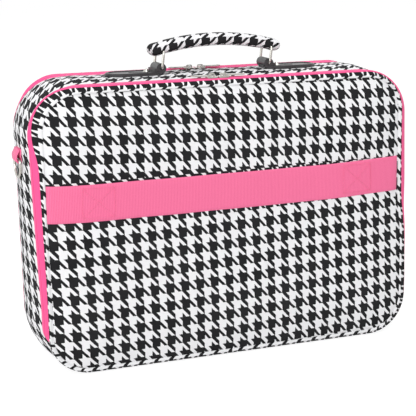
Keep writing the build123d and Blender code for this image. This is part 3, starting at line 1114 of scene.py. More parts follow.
    def surface(self, stations: Stations, inset: Array, y: Array,
                side: Optional[Side] = None) -> Array:
        """Places a profile at every station: corner centre plus radius times the outward direction.

        Beyond the zip's middle the soft lids settle, by the square of the height: the front one sinks past its
        zip, and the rear one stands up. Everything soft leans sideways a little, its right side is wider towards
        the front, and its upper left corner is pinched.

        Args:
            stations: where round the case.
            inset: (columns) or (rows, columns), how far in from the outline.
            y: (columns) or (rows, columns), the depth.
            side: the lid whose settling counts, if any.

        Returns:
            (rows, columns, 3) points, with the depth still as it was given.
        """
        rows = len(stations.angle)
        inset, y = (np.broadcast_to(value, (rows, np.shape(value)[-1])) for value in (inset, y))
        share = self.lid_share(y)
        radius = np.maximum(self.corner_at(inset) - self.lid_corner_less * share, 0)
        half_x = self.width / 2 - inset - self.lid_taper * share
        half_z = self.height / 2 - inset
        cosine, sine = np.cos(stations.angle)[:, None], np.sin(stations.angle)[:, None]
        x = (half_x - radius) * stations.side_x[:, None] + radius * cosine
        z = (half_z - radius) * stations.side_z[:, None] + radius * sine + self.centre_z
        rise = np.clip((z - self.centre_z) / (self.height / 2), 0, 1) ** 2
        signed = y if side is None else y * side.value
        right = np.clip(stations.side_x, 0, 1)[:, None] * np.clip(-signed / self.gusset_edge_y, 0, 1)
        low = smooth_step(-z, *self.lower_z) * smooth_step(-signed, self.chain_y, self.lower_y)
        x = x + self.leaning(z, signed) + right * (self.right_wider + self.right_lower_wider * low)
        if side is Side.FRONT:
            start = self.lid_edge_y - self.sunk_y
            z = z - np.clip((np.abs(y) - start) / (self.seam_y - start), 0, 1) * self.front_drop * rise
        elif side is Side.REAR:
            slack = np.clip((np.abs(y) - self.chain_y) / (self.lid_edge_y - self.chain_y), 0, 1)
            z = z + slack * self.rear_rise * rise
        out, y = self.pinched(x, z, inset, y)
        return np.stack([x if side is Side.REAR else out, y, z], -1)


def strip_cloth(stations: Stations, across: Array, wrap: Optional[float] = None) -> Array:
    """Cloth coordinates of a strip: the way along it and the way across it.

    Args:
        stations: where round the case.
        across: (columns), millimetres from one edge.
        wrap: the length at which a closed strip meets its start.

    Returns:
        (rows, or rows + 1 where it wraps, columns, 2).
    """
    return spread(stations.along if wrap is None else np.append(stations.along, wrap), across)


def closed_strip(points: Array, cloth: Array, wrap_rows: bool = False) -> Patch:
    """A tube whose cross-section closes on itself.

    Args:
        points: (rows, columns, 3).
        cloth: cloth coordinates, with a row more where the rows wrap.
        wrap_rows: the tube also closes along its length; otherwise its ends are capped.

    Returns:
        The patch.
    """
    doubled = np.concatenate([cloth, cloth[:, :1]], axis=1)
    return Patch(points, doubled, wrap_rows, True, not wrap_rows)


# Sub-assemblies


@dataclass
class Lid:
    """One zipped lid: its padded canvas cover with a rolled rim, and its lining."""

    outline: CaseOutline
    finishes: Finishes
    side: Side
    canvas: CheckedCanvas = CheckedCanvas()
    crown: float = 5.5
    crown_flat: float = 90.0
    thickness: float = 1.2
    roll: float = 2.1
    crease: float = 1.0
    crease_width: float = 1.3
    slack: tuple[float, float] = (95.0, 0.3)
    gathers: tuple[float, float] = (13.0, 0.22)
    gathers_at: tuple[float, float] = (3.0, 3.5)
    sewn: float = 2.0
    lining_behind: float = 5.1
    lining_edge: float = 4.2
    lining_thickness: float = 0.7
    band_z: float = 189.5
    upper_cut: PanelCut = PanelCut((1.458, 12.084, -0.585, 0.356, -0.083, 0.561),
                                   (-4.468, 0.208, 7.634, -0.088, 0.098, 0.056))
    lower_cut: PanelCut = PanelCut((0.653, 11.959, 0.308, 0.314, 0.032, 0.047),
                                   (3.536, -0.322, 7.587, -0.102, 0.028, 0.03))
    rear_cut: PanelCut = PanelCut()
    rim_shift: tuple[float, float] = (-5.8, 15.8)

    def puckers(self, x: Array, height: Array) -> Array:
        """How the padded face rises between its sewn edges, and for the front along the join behind the band.

        Args:
            x: sideways, in millimetres.
            height: upwards from the case's middle.

        Returns:
            Millimetres outwards.
        """
        outline, front = self.outline, self.side is Side.FRONT
        half_x = outline.width / 2 - outline.seam_inset - outline.lid_taper
        half_z = outline.height / 2 - outline.seam_inset
        turn = outline.corner - outline.seam_inset - outline.lid_corner_less
        padding = PaddedCloth(2 * half_x, 2 * half_z, seed=51 if front else 57)
        across, up = padding.grid()
        past = np.hypot(np.maximum(np.abs(across) - half_x + turn, 0), np.maximum(np.abs(up) - half_z + turn, 0))
        sewn = (past > turn - self.sewn) | (np.abs(across) > half_x - self.sewn) | (np.abs(up) > half_z - self.sewn)
        if front:
            sewn |= np.abs(up - JOIN_Z + outline.centre_z) < padding.step / 2
        return padding.rise_at(padding.settled(sewn), x, height)

    def face_depth(self, inset: Array) -> Array:
        """Depth of the face: the seam's depth plus a crown that rises as 1 - (1 - t)^3 and stays level."""
        t = np.clip((inset - self.outline.seam_inset) / (self.crown_flat - self.outline.seam_inset), 0, 1)
        return self.outline.seam_y + self.crown * (1 - (1 - t) ** 3)

    def cover_profile(self) -> tuple[Array, Array, int]:
        """The cover's cross-section from the middle of its face out to its edge and back under its skin.

        Returns:
            Insets, depths and the column of the seam.
        """
        seam_inset, seam_y, edge_y = self.outline.seam_inset, self.outline.seam_y, self.outline.lid_edge_y
        half = self.outline.height / 2
        face = np.concatenate([np.linspace(half, 60, 15), np.linspace(54, 20, 9), seam_inset + np.array(
            [8, 6, 4.5, 3.2, 2.2, 1.4, 0.8, 0.35])])
        face_y = self.face_depth(face) - self.crease * np.exp(-((face - seam_inset) / self.crease_width) ** 2)
        share = np.linspace(0, 1, 13)
        bow = self.roll * np.sin(np.pi * share) ** 0.75
        run = np.array([self.outline.gusset_inset - seam_inset, edge_y - seam_y + self.crease])
        out = np.array([run[1], -run[0]]) / np.linalg.norm(run)
        rim = seam_inset + share * run[0] - bow * out[0]
        rim_y = seam_y - self.crease + share * run[1] + bow * out[1]
        under = np.array([self.outline.gusset_inset + self.thickness, seam_inset + 1, 20, 54, half])
        under_y = np.concatenate([[edge_y], self.face_depth(under[1:]) - self.thickness])
        return np.concatenate([face, rim, under]), np.concatenate([face_y, rim_y, under_y]), len(face)

    def cover(self) -> None:
        """The canvas cover: two checked panels that meet behind the band, sewn to a rolled rim."""
        stations = self.outline.round_all(CANVAS_STEP)
        insets, depths, seam = self.cover_profile()
        points = self.outline.surface(stations, insets, depths, self.side)
        x, z = points[..., 0], points[..., 2]
        front, height = self.side is Side.FRONT, z - self.outline.centre_z
        soft = smooth_step(insets, self.outline.seam_inset, 14)
        gathered = np.exp(-((insets - self.outline.seam_inset - self.gathers_at[0]) / self.gathers_at[1]) ** 2)
        seed = 3 if front else 8
        ripple = waves(stations.along, stations.along * 0, self.gathers[0], seed)[:, None] * gathered
        points[..., 1] += waves(x, z, self.slack[0], seed) * self.slack[1] * soft + ripple * self.gathers[1]
        points[:, :seam, 1] += self.puckers(x[:, :seam], height[:, :seam])
        points[..., 1] *= self.side.value
        gone = travelled(np.stack([insets, depths], -1))
        rim_cloth = strip_cloth(stations, gone - gone[seam], self.outline.length) + np.array(self.rim_shift)
        cuts = (self.lower_cut, self.upper_cut) if front else (self.rear_cut,)
        cloths = [cut.cloth(-x * self.side.value, height, self.canvas) for cut in cuts]
        cloths = [rows_closed(cloth)[:, :seam + 1] for cloth in cloths]
        patches = [Patch(points[:, :seam + 1], cloths[0], wrap_rows=True),
                   Patch(points[:, seam:], rim_cloth[:, seam:], wrap_rows=True)]
        made = Piece(f"{self.side.word}_cover_canvas", patches,
                     self.finishes.joined_canvas if front else self.finishes.canvas, Slot.CANVAS, merge=MERGE,
                     upper_cloth=[cloths[1], rim_cloth[:, seam:]] if front else None).build()
        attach(made, self.side.lid)
        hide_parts(f"{self.side.word}_cover")

    def lining(self) -> None:
        """The nylon that hides the board, from the tape's inner edge over the whole lid."""
        stations = self.outline.round_all(7.0)
        outer = np.concatenate([self.lining_edge + np.array([0, 0.4, 1.4, 3.8]), np.linspace(14, 90, 10),
                                [120, self.outline.height / 2]])
        slope = self.outline.lid_edge_y - 0.4 - (outer - self.lining_edge) * 0.55
        top_y = np.where(outer < 9, slope, self.face_depth(outer) - self.lining_behind)
        insets = np.concatenate([outer[::-1], outer])
        depths = np.concatenate([top_y[::-1], top_y + self.lining_thickness])
        points = self.outline.surface(stations, insets, depths, self.side)
        points[..., 1] += waves(points[..., 0], points[..., 2], 70, 21) * 0.25 * smooth_step(insets, 12, 20)
        points[..., 1] *= self.side.value
        patch = Patch(points, rows_closed(points[..., [0, 2]]), wrap_rows=True)
        made = Piece(f"{self.side.word}_lid_lining", [patch], self.finishes.lining, Slot.LINING,
                     merge=MERGE).build()
        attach(made, self.side.lid)
        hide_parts(f"{self.side.word}_lining")

    def build(self) -> None:
        """Makes the lid's soft pieces and dresses its board."""
        self.cover()
        self.lining()
        dress(f"{self.side.word}_board", self.finishes.board)


@dataclass
class TrolleyBand:
    """The webbing across the front lid, with a box and cross sewn near each end."""

    lid: Lid
    finishes: Finishes
    width: float = 39.2
    thickness: float = 1.6
    seat: float = 0.15
    hang: tuple[float, float, float] = (-2.9, 1.05, 1.75)
    end_x: float = 201.1
    box: tuple[float, float] = (34.0, 31.0)
    box_x: float = 148.0
    pitch: float = 3.1
    stitch: float = 2.3
    thread: float = 0.32
    loop: float = 0.28
    tuck: tuple[float, float] = (1.1, 2.2)

    def band_depth(self, x: Array) -> Array:
        """Depth of the band's outer side: the face's depth at the same place, plus its seat and thickness."""
        outline = self.lid.outline
        inset = outline.width / 2 - outline.lid_taper - np.abs(x)
        tuck = self.tuck[0] * np.exp(-((self.end_x - np.abs(x)) / self.tuck[1]) ** 2)
        return self.lid.face_depth(inset) + self.seat + self.thickness - tuck

    def middle_z(self, x: Array) -> Array:
        """Height of the band's middle: it hangs below its straight line by a quadratic of x in 200 mm."""
        share = x / 200
        return self.lid.band_z + self.hang[0] + self.hang[1] * share + self.hang[2] * share ** 2

    def band(self) -> None:
        """A flat strip whose cross-section has rounded selvedges, carried along the face's crown."""
        x = np.linspace(-self.end_x, self.end_x, 161)
        half, edge = self.width / 2, 0.5
        across = np.array([-half, -half + edge, -half + 3, -half / 2, 0, half / 2, half - 3, half - edge, half,
                           half - edge, 0, -half + edge])
        sunk = np.array([0.8, 0.12, 0, 0, 0, 0, 0, 0.12, 0.8, 1.5, 1.5, 1.5])
        z = across[None, :] + (self.middle_z(x) + waves(x, x * 0, 90, 5) * 0.35)[:, None]
        y = -(self.band_depth(x)[:, None] - sunk[None, :])
        y = y - waves(x[:, None] + 0 * across, z, 60, 6) * 0.15
        points = np.stack([np.broadcast_to(x[:, None], y.shape), y, z], -1)
        made = Piece("trolley_band", [closed_strip(points, spread(x, across))], self.finishes.webbing,
                     Slot.WEBBING).build()
        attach(made, "front_lid")
        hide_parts("trolley_strap")

    def stitches(self) -> None:
        """Both boxes and crosses as rows of short thread loops, each a bent capsule."""
        half_w, half_h = self.box[0] / 2, self.box[1] / 2
        corners = [(-half_w, -half_h), (half_w, -half_h), (half_w, half_h), (-half_w, half_h), (-half_w, -half_h),
                   (half_w, half_h), (half_w, -half_h), (-half_w, half_h)]
        starts, ends = stitch_row(np.array(corners), self.pitch, self.stitch)
        tubes: list[Patch] = []
        for centre in (-self.box_x, self.box_x):
            placed = [np.stack([
                pair[:, 0] + centre, -self.band_depth(pair[:, 0] + centre) - 0.12,
                pair[:, 1] + self.middle_z(pair[:, 0] + centre)], -1) for pair in (starts, ends)]
            tubes += stitch_tubes(*placed, radius=self.thread, lift=np.array([0, -self.loop, 0]))
        made = Piece("trolley_band_stitches", tubes, self.finishes.pink_thread, Slot.WEBBING).build()
        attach(made, "front_lid")

    def build(self) -> None:
        """Makes the band and its sewing."""
        self.band()
        self.stitches()


def stitch_row(corners: Array, pitch: float, length: float) -> tuple[Array, Array]:
    """Evenly spaced stitches along a line of straight runs.

    Args:
        corners: (n, 2) corners of the line.
        pitch: from one stitch to the next.
        length: of each stitch.

    Returns:
        The stitches' starts and ends, each (stitches, 2).
    """
    gone = travelled(corners)
    middles = np.arange(pitch / 2, gone[-1], pitch)

    def at(distance: Array) -> Array:
        """Points at distances along the line."""
        return np.stack([np.interp(distance, gone, corners[:, axis]) for axis in (0, 1)], -1)

    return at(middles - length / 2), at(middles + length / 2)


def stitch_tubes(starts: Array, ends: Array, radius: float, lift: Array) -> list[Patch]:
    """Short thread loops: each a five-ring tube that rises by a sine between its two holes.

    Args:
        starts: (n, 3).
        ends: (n, 3).
        radius: of the thread.
        lift: (3) how far and which way the middle rises.

    Returns:
        One patch for each stitch.
    """
    t = np.linspace(0, 1, 5)
    spine = starts[:, None] + (ends - starts)[:, None] * t[None, :, None]
    spine = spine + np.sin(np.pi * t)[None, :, None] * lift
    ahead = (ends - starts) / np.linalg.norm(ends - starts, axis=1, keepdims=True)
    up = lift / np.linalg.norm(lift)
    aside = np.cross(ahead, up)
    turn = np.linspace(0, 2 * math.pi, 6, endpoint=False)
    thick = radius * np.array([0.35, 0.95, 1.0, 0.95, 0.35])
    ring = (np.cos(turn)[:, None] * aside[:, None, None, :] + np.sin(turn)[:, None] * up)
    points = spine[:, :, None] + ring * thick[None, :, None, None]
    return [closed_strip(grid, spread(t * 2.5, turn)) for grid in points]


@dataclass
class Gusset:
    """The padded canvas band between the zips and the nylon inside it."""

    outline: CaseOutline
    finishes: Finishes
    thickness: float = 4.0
    lining_thickness: float = 0.8
    cut: tuple[float, float] = (0.82, 1.042)
    edge_share: float = 0.93
    fold: tuple[float, float] = (0.9, 0.6)
    plate_x: tuple[float, float] = (50.0, 128.0)
    plate_y: float = 20.0
    top_z: float = 300.0
    tab_z: tuple[float, float] = (218.0, 246.0)
    tab_y: float = 15.0
    flank_x: float = 205.0

    def puckers(self, along: Array, y: Array) -> Array:
        """How the padded band rises between its edges, flat where the plates and the ring tabs press on it.

        Args:
            along: the way round the case, in millimetres.
            y: depths.

        Returns:
            Millimetres outwards.
        """
        reach, length = self.outline.gusset_edge_y, self.outline.length
        padding = PaddedCloth(length, 2 * reach, seed=63, most=0.8, spare=0.015)
        grid_along, grid_y = padding.grid()
        stations = self.outline.stations(grid_along[:, 0] + length / 2)
        place = self.outline.surface(stations, np.zeros(1), np.zeros(1))[:, 0]
        x, z = np.abs(place[:, 0]), place[:, 2]
        plates = (z > self.top_z) & (x > self.plate_x[0]) & (x < self.plate_x[1])
        plates = plates[:, None] & (np.abs(grid_y) < self.plate_y)
        tabs = (x > self.flank_x) & (z > self.tab_z[0]) & (z < self.tab_z[1])
        tabs = tabs[:, None] & (np.abs(grid_y) < self.tab_y)
        sewn = (np.abs(grid_y) > reach - 1) | (np.abs(grid_along) > length / 2 - 1) | plates | tabs
        return padding.rise_at(padding.settled(sewn), along - length / 2, y)

    def band(self) -> None:
        """The canvas band: an outer side that bows by the square of the depth, folded over at both edges."""
        stations = self.outline.round_all(CANVAS_STEP)
        reach, bow = self.outline.gusset_edge_y, self.outline.gusset_inset
        edge = np.array([self.edge_share, 0.97, 0.993, 1.0])
        y = np.concatenate([-edge[::-1], np.linspace(-0.86, 0.86, 15), edge]) * reach
        fold = self.fold[0] * np.maximum(np.abs(y) / reach - self.edge_share, 0) / (1 - self.edge_share)
        out = bow * (y / reach) ** 2 + fold ** 2 * self.fold[1]
        under_y = np.linspace(reach, -reach, 7)
        under = bow * (under_y / reach) ** 2 + self.thickness
        insets, depths = np.concatenate([out, under]), np.concatenate([y, under_y])
        along, across = np.broadcast_arrays(stations.along[:, None], y)
        puff = waves(along, across, 80, 12) * 0.3 * smooth_step((1 - np.abs(y) / reach) * 3)
        insets = np.broadcast_to(insets, (len(stations.along), len(insets))).copy()
        insets[:, :len(y)] += puff - self.puckers(along, across)
        points = self.outline.surface(stations, insets, depths)
        points[..., 2] = np.maximum(points[..., 2], 0.0)
        cloth = strip_cloth(stations, depths, self.outline.length)[..., ::-1] * -np.array(self.cut)
        made = Piece("gusset_canvas", [closed_strip(points, cloth, True)], self.finishes.canvas, Slot.CANVAS).build()
        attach(made, "case")
        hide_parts("gusset_shell")

    def lining(self) -> None:
        """The nylon strip inside the gusset."""
        stations = self.outline.round_all(8.0)
        reach, bow = self.outline.gusset_edge_y, self.outline.gusset_inset
        y = np.linspace(-reach, reach, 13)
        insets, depths = two_sided(bow * (y / reach) ** 2 + self.thickness, y, self.lining_thickness)
        points = self.outline.surface(stations, insets, depths)
        cloth = strip_cloth(stations, depths, self.outline.length)
        made = Piece("gusset_lining_nylon", [closed_strip(points, cloth, True)], self.finishes.lining,
                     Slot.LINING).build()
        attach(made, "case")
        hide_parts("gusset_lining")
        self.outline.length * MM

    def build(self) -> None:
        """Makes the band and its lining."""
        self.band()
        self.lining()


@dataclass
class Zip:
    """One zip with its coil turned inwards, and the canvas below its ends."""

    outline: CaseOutline
    finishes: Finishes
    side: Side
    roofs: tuple[float, float]
    taper: tuple[float, float] = (-0.75, 1.1)
    tape: float = 1.0
    half_tape: float = 6.5
    slit: float = 0.12
    coil: tuple[float, float] = (0.9, 1.0)
    coil_from_edge: float = 1.6
    strip_thickness: float = 1.2

    def roof(self, stations: Stations) -> Array:
        """How far the zip's middle stands out at each station: only on the case's sides, and less low on the right.

        Args:
            stations: where round the case.

        Returns:
            (rows, 1), in millimetres.
        """
        left, right = self.roofs
        sideways = np.cos(stations.angle)[:, None]
        upper = smooth_step(stations.side_z[:, None], *self.taper)
        return np.where(sideways < 0, left, right * upper) * sideways ** 2

    def strip(self, name: str, stations: Stations, insets: Array, depths: Array, across: Array,
              material: Material, slot: Slot) -> bpy.types.Object:
        """A closed cross-section carried round the case on this side of it.

        Args:
            name: the new piece, without the side.
            stations: where round the case.
            insets: how far in from the outline.
            depths: without the side's sign.
            across: the cloth's way round the cross-section.
            material: the finish.
            slot: the record's material.

        Returns:
            The piece.
        """
        points = self.outline.surface(stations, insets, depths, self.side)
        points[..., 1] *= self.side.value
        patch = closed_strip(points, strip_cloth(stations, across))
        return Piece(f"{self.side.word}_{name}", [patch], material, slot).build()

    def tape_half(self, half: str, body: str, from_y: float, to_y: float) -> None:
        """Half the tape: flat across, its fold at the middle of the zip, its sides bowed a little outwards.

        Args:
            half: case or lid.
            body: what it rides on.
            from_y: the sewn edge's depth.
            to_y: the folded edge's depth, at the middle of the zip.
        """
        stations = self.outline.zip_run(ZIP_STEP)
        share = np.array([0, 0.1, 0.3, 0.5, 0.7, 0.84, 0.94, 1.0])
        y = from_y + (to_y - from_y) * share
        lie = np.array([0.10, 0.0, 0.05, 0.05, -0.05, -0.15, -0.02, 0.35])
        bow = 1 - (np.abs(y - self.outline.chain_y) / self.half_tape) ** 2
        outer = self.outline.gusset_inset + lie[None, :] - bow[None, :] * self.roof(stations)
        insets, depths = two_sided(outer, y, self.tape)
        made = self.strip(f"zip_tape_{half}", stations, insets, depths, depths, self.finishes.zip_tape, Slot.ZIP)
        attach(made, body)
        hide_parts(f"{self.side.word}_zip_chain_{half}")

    def coil_half(self, half: str, body: str, y: float) -> None:
        """Half the coil: an oval tube under the tape, its turns in the finish.

        Args:
            half: case or lid.
            body: what it rides on.
            y: its depth.
        """
        stations = self.outline.zip_run(ZIP_STEP)
        turn = np.linspace(0, 2 * math.pi, 8, endpoint=False)
        middle = self.outline.gusset_inset + self.tape + self.coil[1] - self.roof(stations)
        insets = middle + self.coil[1] * np.sin(turn)[None, :]
        depths = y + self.coil[0] * np.cos(turn)
        made = self.strip(f"zip_coil_{half}", stations, insets, depths, turn * self.coil[0],
                          self.finishes.zip_coil, Slot.ZIP)
        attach(made, body)

    def hinge_strip(self) -> None:
        """The canvas between gusset and lid under the zip's ends."""
        stations = self.outline.hinge_run(ZIP_STEP)
        y = np.linspace(self.outline.gusset_edge_y - 0.2, self.outline.lid_edge_y + 0.1, 13)
        insets, depths = two_sided(np.full(len(y), self.outline.gusset_inset), y, self.strip_thickness)
        made = self.strip("hinge_canvas", stations, insets, depths, depths, self.finishes.canvas, Slot.CANVAS)
        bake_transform(made)
        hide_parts(f"{self.side.word}_hinge_strip")
        2 * self.outline.zip_end * MM

    def build(self) -> None:
        """Makes both halves of the zip, both rows of coil and the strip below."""
        middle = self.outline.chain_y
        edges = self.outline.gusset_edge_y, self.outline.lid_edge_y
        halves = [("case", "case", -1), ("lid", self.side.lid, 1)]
        for (half, body, way), edge in zip(halves, edges):
            self.tape_half(half, body, edge, middle + way * self.slit / 2)
        for half, body, way in halves:
            self.coil_half(half, body, middle + way * self.coil_from_edge)
        self.hinge_strip()


@dataclass
class Inside:
    """The divider between the compartments, the pocket on its rear side and the laptop strap on its front."""

    outline: CaseOutline
    finishes: Finishes
    wall: float = 4.8
    half_thickness: float = 1.2
    pocket: tuple[float, float] = (320.0, 170.0)
    pocket_bottom: float = 40.0
    pocket_thickness: float = 1.2
    strap_z: float = 208.0
    strap_width: float = 38.0
    strap_sag: float = 1.5
    notch: tuple[float, float] = (94.7, 301.1)
    seat: float = 0.15
    cells: tuple[float, ...] = (-160.0, -60.0, 20.0, 52.0, 84.0, 160.0)

    def divider(self) -> None:
        """A padded nylon panel with a rounded edge, drawn down under the handle's backing bar."""
        stations = self.outline.round_all(5.0)
        half = self.outline.height / 2
        flat = np.array([half, 120, 80, 50, 30, 18, 10, 7])
        insets = np.concatenate([flat, [5.6, 5.0, 5.0, 5.6], flat[::-1]])
        side = np.concatenate([np.ones(8), [0.75, 0.35, -0.35, -0.75], -np.ones(8)])
        points = self.outline.surface(stations, insets, side * self.half_thickness)
        x, z = points[..., 0], points[..., 2]
        points[..., 1] += waves(x, z, 85, 31) * 0.12
        top = self.notch[1] - 0.6 * smooth_step(np.abs(x), 60, 20)
        points[..., 2] = np.where(np.abs(x) < self.notch[0] + 4, np.minimum(z, top), z)
        patch = Patch(points, rows_closed(points[..., [0, 2]]), wrap_rows=True)
        made = Piece("divider_nylon", [patch], self.finishes.lining, Slot.LINING, merge=MERGE).build()
        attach(made, "case")
        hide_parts("divider_panel")

    def pocket_panel(self) -> None:
        """The pocket: a panel that eases away from the divider between its sewn lines, hemmed along its top."""
        width, height = self.pocket
        u = np.linspace(-1, 1, 97)
        v = np.concatenate([[0, 0.01], np.linspace(0.04, 0.93, 24), [0.935, 0.95, 0.97, 0.99, 1.0]])
        x, z = np.broadcast_arrays(u[:, None] * width / 2, self.pocket_bottom + v[None, :] * height)
        nearest = np.min(np.abs(x[..., None] - np.array(self.cells)), -1)
        ease = smooth_step(nearest / 14) * smooth_step(v[None, :] * 6)
        hem = np.where(v > 0.932, 0.9, 0.0)[None, :]
        base = self.half_thickness + self.seat
        front = base + self.pocket_thickness * (0.35 + 0.55 * ease) + hem
        front = np.where((v < 0.005)[None, :] | (np.abs(u) > 0.999)[:, None], base + 0.05, front)
        inner = np.stack([x, np.full_like(front, base), z], -1)
        points = np.concatenate([np.stack([x, front, z], -1), inner[:, ::-1]], axis=1)
        made = Piece("organizer_pocket_nylon", [closed_strip(points, points[..., [0, 2]])], self.finishes.lining,
                     Slot.LINING).build()
        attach(made, "case")
        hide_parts("organizer_pocket")

    def laptop_strap(self) -> None:
        """The black webbing that holds a laptop to the divider."""
        reach = self.outline.width / 2 - self.wall - 0.4
        x = np.linspace(-reach, reach, 91)
        half = self.strap_width / 2
        across = np.array([-half, -half + 0.5, -half / 2, 0, half / 2, half - 0.5, half, half - 0.5, -half + 0.5])
        lie = np.array([0.7, 1.45, 1.6, 1.6, 1.6, 1.45, 0.7, 0.05, 0.05])
        z = self.strap_z + across[None, :] - self.strap_sag * (1 - (x / reach) ** 2)[:, None]
        y = -(self.half_thickness + self.seat + lie[None, :] + 0 * x[:, None])
        points = np.stack([np.broadcast_to(x[:, None], y.shape), y, z], -1)
        made = Piece("laptop_strap_webbing", [closed_strip(points, spread(x, across))], self.finishes.dark_webbing,
                     Slot.DARK_WEBBING).build()
        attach(made, "case")
        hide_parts("laptop_strap")

    def build(self) -> None:
        """Makes the inside fittings."""
        self.divider()
        self.pocket_panel()
        self.laptop_strap()


@dataclass
class Handle:
    """The arched grip in checked canvas, with its rings, tongue plates and rivets."""

    finishes: Finishes
    half_span: float = 67.3
    rise: float = 8.5
    half_thick: float = 6.7
    half_wide: float = 11.7
    middle: tuple[float, float] = (2.194, 334.566)
    pivot_x: float = 62.0
    end: float = 6.7
    flat_power: float = 3.0
    round_power: float = 2.6
    pinch: tuple[float, float] = (0.07, 3.0)
    end_width: float = 0.72
    girth: float = 62.0
    cut: tuple[float, float] = (0.9, 1.0)
    cut_shift: tuple[float, float] = (0.0, 11.9)

    def grip(self) -> None:
        """The grip: a superellipse carried along a shallow arc, pinched at the rings and sewn flat at its ends."""
        radius = (self.half_span ** 2 + self.rise ** 2) / (2 * self.rise)
        reach = radius * math.asin(self.half_span / radius)
        inner = np.linspace(-reach, reach, 65)
        t = np.sin(np.linspace(0, math.pi / 2, 10))[1:]
        along = np.concatenate([-reach - self.end * t[::-1], inner, reach + self.end * t])
        past = np.maximum(np.abs(along) - reach, 0) / self.end
        close = np.maximum(1 - past ** self.round_power, 0) ** (1 / self.round_power)
        pinch = 1 - self.pinch[0] * np.exp(-((np.abs(along) - self.pivot_x) / self.pinch[1]) ** 2)
        thick = self.half_thick * close * pinch
        wide = self.half_wide * (self.end_width + (1 - self.end_width) * close) * (1 + 0.02 * np.cos(along / 9))
        turn = np.linspace(0, 2 * math.pi, 40, endpoint=False)
        c, s = np.cos(turn), np.sin(turn)
        across = np.sign(c) * np.abs(c) ** (2 / self.flat_power)
        up = np.sign(s) * np.abs(s) ** (2 / self.round_power)
        swell = 1 + 0.012 * waves(along[:, None] + 0 * turn, turn * 8 + 0 * along[:, None], 30, 41)
        angle = np.clip(along, -reach, reach) / radius
        beyond = along - np.clip(along, -reach, reach)
        spine_x = radius * np.sin(angle) + beyond * np.cos(angle)
        spine_z = radius * (np.cos(angle) - 1) + self.rise - beyond * np.sin(angle)
        lift = thick[:, None] * up[None, :] * swell
        x = self.middle[0] + spine_x[:, None] + lift * np.sin(angle)[:, None]
        z = self.middle[1] + spine_z[:, None] + lift * np.cos(angle)[:, None]
        y = wide[:, None] * across[None, :] * swell
        points = np.stack([x, y, z], -1)
        girth = np.linspace(0, self.girth, len(turn) + 1)
        cloth = spread(along, girth) * np.array(self.cut) + np.array(self.cut_shift)
        made = Piece("grip_canvas", [Patch(points, cloth, wrap_columns=True)], self.finishes.canvas, Slot.CANVAS,
                     merge=MERGE).build()
        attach(made, "handle_grip")
        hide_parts("handle_grip_cover")

    def build(self) -> None:
        """Makes the grip's cover and dresses the hard pieces."""
        self.grip()
        dress("handle_grip_core", self.finishes.core)
        dress("handle_backing_bar", self.finishes.steel)
        for hand in ("left", "right"):
            dress(f"handle_plate_{hand}", self.finishes.plate)
            dress(f"handle_ring_{hand}", self.finishes.nickel)
        dress("handle_rivets", self.finishes.nickel)


@dataclass
class SideRing:
    """A D-ring on the case's side and the webbing loop that holds it."""

    outline: CaseOutline
    finishes: Finishes
    hand: str
    flank_x: float = 215.0
    axis_x: float = 218.2
    axis_z: float = 227.5
    width: float = 22.0
    thickness: float = 1.4
    tail: float = 12.0
    wire: float = 1.5
    play: float = 0.3

    def loop(self) -> None:
        """The tab: a strip carried down one tail, round the ring's bar and up the other."""
        wire = self.wire + self.play + self.thickness / 2
        sign = -1 if self.hand == "left" else 1
        a, z = self.axis_x, self.axis_z
        f = self.flank_x + sign * float(self.outline.leaning(np.array(z + self.tail / 2), np.array(0.0)))
        low = [(a - wire * math.cos(t), z - wire * math.sin(t)) for t in np.radians([20, 65, 115, 160])]
        route = [(f + 0.75, z + self.tail), (f + 0.75, z + self.tail * 0.7), (f + 0.85, z + 4.5), (a - wire, z + 1.0),
                 *low, (a + wire + 0.2, z + 1.6), (f + 5.2, z + 5), (f + 3.2, z + self.tail * 0.75),
                 (f + 2.2, z + self.tail - 0.4)]
        line = flowing(route, 70)
        ahead = np.gradient(line, axis=0)
        ahead /= np.linalg.norm(ahead, axis=1, keepdims=True)
        out = np.stack([-ahead[:, 1], ahead[:, 0]], -1)
        half, thick = self.width / 2, self.thickness / 2
        across = np.array([-half, -half + 0.4, -half / 3, half / 3, half - 0.4, half, half - 0.4, half / 3, -half / 3,
                           -half + 0.4])
        above = np.array([0, 0.9, 1, 1, 0.9, 0, -0.9, -1, -1, -0.9]) * thick
        x = sign * (line[:, None, 0] + out[:, None, 0] * above[None, :])
        up = line[:, None, 1] + out[:, None, 1] * above[None, :]
        points = np.stack([x, np.broadcast_to(across[None, :], x.shape), up], -1)
        cloth = spread(travelled(line), across)
        made = Piece(f"side_tab_{self.hand}", [closed_strip(points, cloth)], self.finishes.webbing,
                     Slot.WEBBING).build()
        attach(made, "case")
        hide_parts(f"d_ring_tab_{self.hand}")

    def build(self) -> None:
        """Makes the tab and dresses the ring."""
        self.loop()
        dress(f"d_ring_{self.hand}", self.finishes.nickel)


def dress(node: str, material: Material) -> None:
    """Gives a CAD node its finish, and reports it.

    Args:
        node: the node's name.
        material: the finish.
    """
    data = bpy.data.objects[node].data
    data.materials.clear()
    data.materials.append(material)
    LOG.info("%s: %s", node, material.name)


